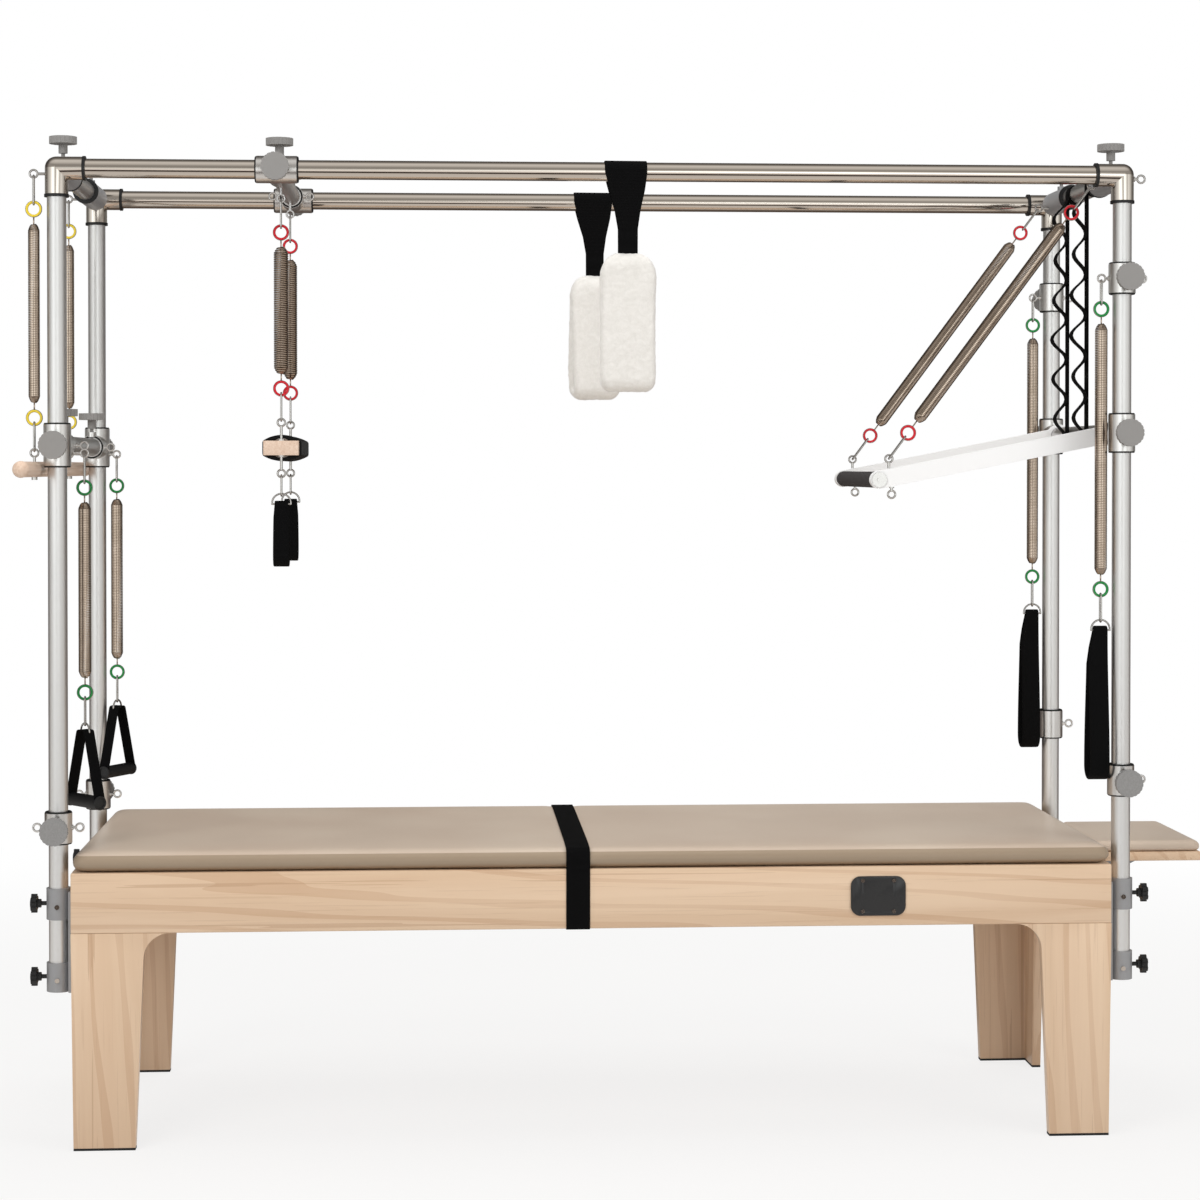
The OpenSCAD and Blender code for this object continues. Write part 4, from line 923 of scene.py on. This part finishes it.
def slingFleece(label, place):
    half, deep, thick = slings["length"] / 2, slings["deep"], slings["thick"]
    r = deep / 2 - thick / 2
    path = []
    for k in range(13):
        a = math.pi * k / 12
        path.append((r * math.cos(a), half - deep / 2 + r * math.sin(a)))
    for k in range(13):
        a = math.pi + math.pi * k / 12
        path.append((r * math.cos(a), -half + deep / 2 + r * math.sin(a)))
    item = ribbon("fleece", path, slings["width"], thick, "YZ", closed=True, edge=4)
    settle(item)
    softened(item, 0.0036, 6)
    for vertex in item.data.vertices:
        co = vertex.co
        up, down = (co.z + half) / slings["length"], half - co.z
        narrow = 0.44 + 0.56 * math.sqrt(1 - (1 - min(1.0, max(0.0, down / 0.052))) ** 2)
        low = 1.0 - 0.16 * max(0.0, 1 - (co.z + half) / 0.030) ** 2
        co.x *= narrow * low
        tuft = noise.noise(co * 120 + Vector((place["seed"], 0, 0))) + 0.6 * noise.noise(co * 260)
        heavy = noise.noise(co * 22 + Vector((0, place["seed"], 0)))
        outward = vertex.normal.copy()
        co += outward * (tuft * 0.0010 + heavy * 0.0022)
        twist = place["turn"] * (1 - up)
        x, y = co.x, co.y
        co.x = x * math.cos(twist) - y * math.sin(twist)
        co.y = x * math.sin(twist) + y * math.cos(twist)
    item.location = (place["x"], place["y"], slings["top"] - half)
    finishPiece(item, "slingFleece" + label, "sling_" + label.lower(), fleece, 180,
                ("sling_fleece_" + label.lower(),))


for label in ("Front", "Rear"):
    slingStrap(label, slings[label.lower()])
    slingFleece(label, slings[label.lower()])
print("stage: slings made")

# a pale studio: floor, world and soft lamps

bpy.ops.mesh.primitive_plane_add(size=40, location=(0, 0, -0.0005))
floor = bpy.context.object
floor.name = "studioFloor"
look = Recipe("studioWhite")
away = look.node("ShaderNodeVectorMath", {"operation": "LENGTH"}, {0: look.place()}, output="Value")
far = look.node("ShaderNodeMapRange", {"interpolation_type": "SMOOTHSTEP"},
                {0: away, 1: 1.6, 2: 4.5, 3: 0.0, 4: 1.0})
rays = look.node("ShaderNodeLightPath", output="Is Camera Ray")
glow = look.node("ShaderNodeEmission", {}, {"Color": (1, 1, 1), "Strength": 1.0})
look.set(colour=(0.66, 0.64, 0.62), rough=0.9, specular=0.1)
across = (look.axis("Y") + 8.0) * (1 / 12)
band = look.ramp(across, [(0.0, (1.1, 1.07, 1.04)), (0.20, (0.85, 0.82, 0.79)),
                          (0.28, (0.08, 0.06, 0.05)), (0.42, (0.05, 0.035, 0.03)),
                          (0.475, (0.74, 0.71, 0.68)), (0.69, (0.80, 0.78, 0.75)),
                          (0.745, (0.14, 0.11, 0.09)), (1.0, (0.10, 0.08, 0.07))])
mirrored = look.node("ShaderNodeEmission", {}, {"Color": band, "Strength": 1.0})
inMirror = look.node("ShaderNodeLightPath", output="Is Glossy Ray")
base = Wire(look, look.shader.outputs[0])
lift = look.node("ShaderNodeAddShader", {}, {})
tree = look.tree
dim = look.node("ShaderNodeEmission", {}, {"Color": (1, 1, 1), "Strength": 0.06})
tree.links.new(base.socket, lift.socket.node.inputs[0])
tree.links.new(dim.socket, lift.socket.node.inputs[1])
near = look.node("ShaderNodeMixShader", {}, {})
tree.links.new(((far * 0.22 + 0.78) * rays).socket, near.socket.node.inputs[0])
tree.links.new(lift.socket, near.socket.node.inputs[1])
tree.links.new(glow.socket, near.socket.node.inputs[2])
whole = look.node("ShaderNodeMixShader", {}, {})
tree.links.new(inMirror.socket, whole.socket.node.inputs[0])
tree.links.new(near.socket, whole.socket.node.inputs[1])
tree.links.new(mirrored.socket, whole.socket.node.inputs[2])
tree.links.new(whole.socket, tree.nodes["Material Output"].inputs["Surface"])
look.material.cycles.emission_sampling = "NONE"
dress(floor, look.material)

world = bpy.context.scene.world or bpy.data.worlds.new("studio")
bpy.context.scene.world = world
world.use_nodes = True
tree = world.node_tree
tree.nodes.clear()
world.cycles.sampling_method = "NONE"


def worldNode(kind, **inputs):
    made = tree.nodes.new(kind)
    for key, value in inputs.items():
        spot = made.inputs[int(key[1:]) if key[1:].isdigit() else key]
        if isinstance(value, bpy.types.NodeSocket):
            tree.links.new(value, spot)
        else:
            spot.default_value = value
    return made


def worldRamp(factor, stops):
    # stops hold a place and a shade, which is tinted warmer the darker it is
    made = worldNode("ShaderNodeValToRGB", Fac=factor)
    while len(made.color_ramp.elements) < len(stops):
        made.color_ramp.elements.new(0.5)
    for element, (place, shade) in zip(made.color_ramp.elements, stops):
        element.position = place
        element.color = (shade, shade * (0.95 + 0.05 * shade), shade * (0.90 + 0.09 * shade), 1)
    return made.outputs["Color"]


def halfway(socket):
    # a direction's part from -1 to 1, as a ramp's 0 to 1
    made = worldNode("ShaderNodeMath", i0=socket, i1=0.5, i2=0.5)
    made.operation = "MULTIPLY_ADD"
    return made.outputs[0]


def product(first, second):
    made = tree.nodes.new("ShaderNodeVectorMath")
    made.operation = "MULTIPLY"
    tree.links.new(first, made.inputs[0])
    tree.links.new(second, made.inputs[1])
    return made.outputs[0]


paths = tree.nodes.new("ShaderNodeLightPath")
parts = worldNode("ShaderNodeSeparateXYZ", i0=tree.nodes.new("ShaderNodeTexCoord").outputs["Generated"])
height = halfway(parts.outputs["Z"])
sky = worldRamp(height, [(0.0, 0.62), (0.36, 0.72), (0.47, 0.40), (0.52, 0.16), (0.60, 0.30), (0.70, 0.86),
                         (0.86, 0.98), (1.0, 0.80)])
soft = worldNode("ShaderNodeBackground", Strength=0.62, Color=sky)
walls = worldRamp(height, [(0.0, 0.50), (0.40, 1.20), (0.46, 1.95), (0.53, 1.9), (0.59, 0.80), (0.66, 0.42),
                           (0.75, 0.34), (0.86, 0.62), (1.0, 0.86)])
depth = worldRamp(halfway(parts.outputs["Y"]), [
    (0.0, 1.0), (0.38, 1.0), (0.52, 0.5), (0.64, 0.2), (1.0, 0.2)])
panels = worldRamp(halfway(parts.outputs["X"]), [
    (0.0, 0.4), (0.12, 0.75), (0.21, 1.25), (0.34, 1.2), (0.42, 0.42), (0.49, 0.46), (0.56, 1.25),
    (0.67, 1.15), (0.78, 0.42), (0.89, 0.75), (1.0, 0.4)])
upright = worldRamp(height, [(0.30, 0.0), (0.40, 1.0), (0.60, 1.0), (0.70, 0.0)])
striped = tree.nodes.new("ShaderNodeMix")
striped.data_type = "RGBA"
striped.inputs[6].default_value = (1, 1, 1, 1)
tree.links.new(upright, striped.inputs[0])
tree.links.new(panels, striped.inputs[7])
reflected = product(product(walls, depth), striped.outputs[2])
mirror = worldNode("ShaderNodeBackground", Strength=1.05, Color=reflected)
white = worldNode("ShaderNodeBackground", Color=(1, 1, 1, 1))
seen = worldNode("ShaderNodeMath", i0=paths.outputs["Is Camera Ray"], i1=paths.outputs["Is Transmission Ray"])
seen.operation = "MAXIMUM"
lit = worldNode("ShaderNodeMixShader", i0=paths.outputs["Is Glossy Ray"], i1=soft.outputs[0],
                i2=mirror.outputs[0])
mix = worldNode("ShaderNodeMixShader", i0=seen.outputs[0], i1=lit.outputs[0], i2=white.outputs[0])
worldNode("ShaderNodeOutputWorld", Surface=mix.outputs[0])

lamps = {
    "keyLamp": {"place": (-2.6, -3.6, 3.6), "size": 2.6, "power": 104},
    "fillLamp": {"place": (3.4, -3.0, 2.2), "size": 2.4, "power": 55},
    "topLamp": {"place": (0.0, 0.2, 4.4), "size": 3.2, "power": 74},
    "backLamp": {"place": (0.6, 3.0, 4.2), "size": 2.4, "power": 24},
}
for name, lamp in lamps.items():
    aim = Vector((0, 0, 0.9)) - Vector(lamp["place"])
    turned = aim.to_track_quat("-Z", "Y").to_euler()
    bpy.ops.object.light_add(type="AREA", location=lamp["place"], rotation=turned)
    light = bpy.context.object
    light.name = name
    light.data.size = lamp["size"]
    light.data.energy = lamp["power"]
    light.visible_glossy = False  # metal mirrors the studio's walls alone
bpy.context.scene.view_settings.view_transform = "Standard"
print("stage: studio set")

deselect()
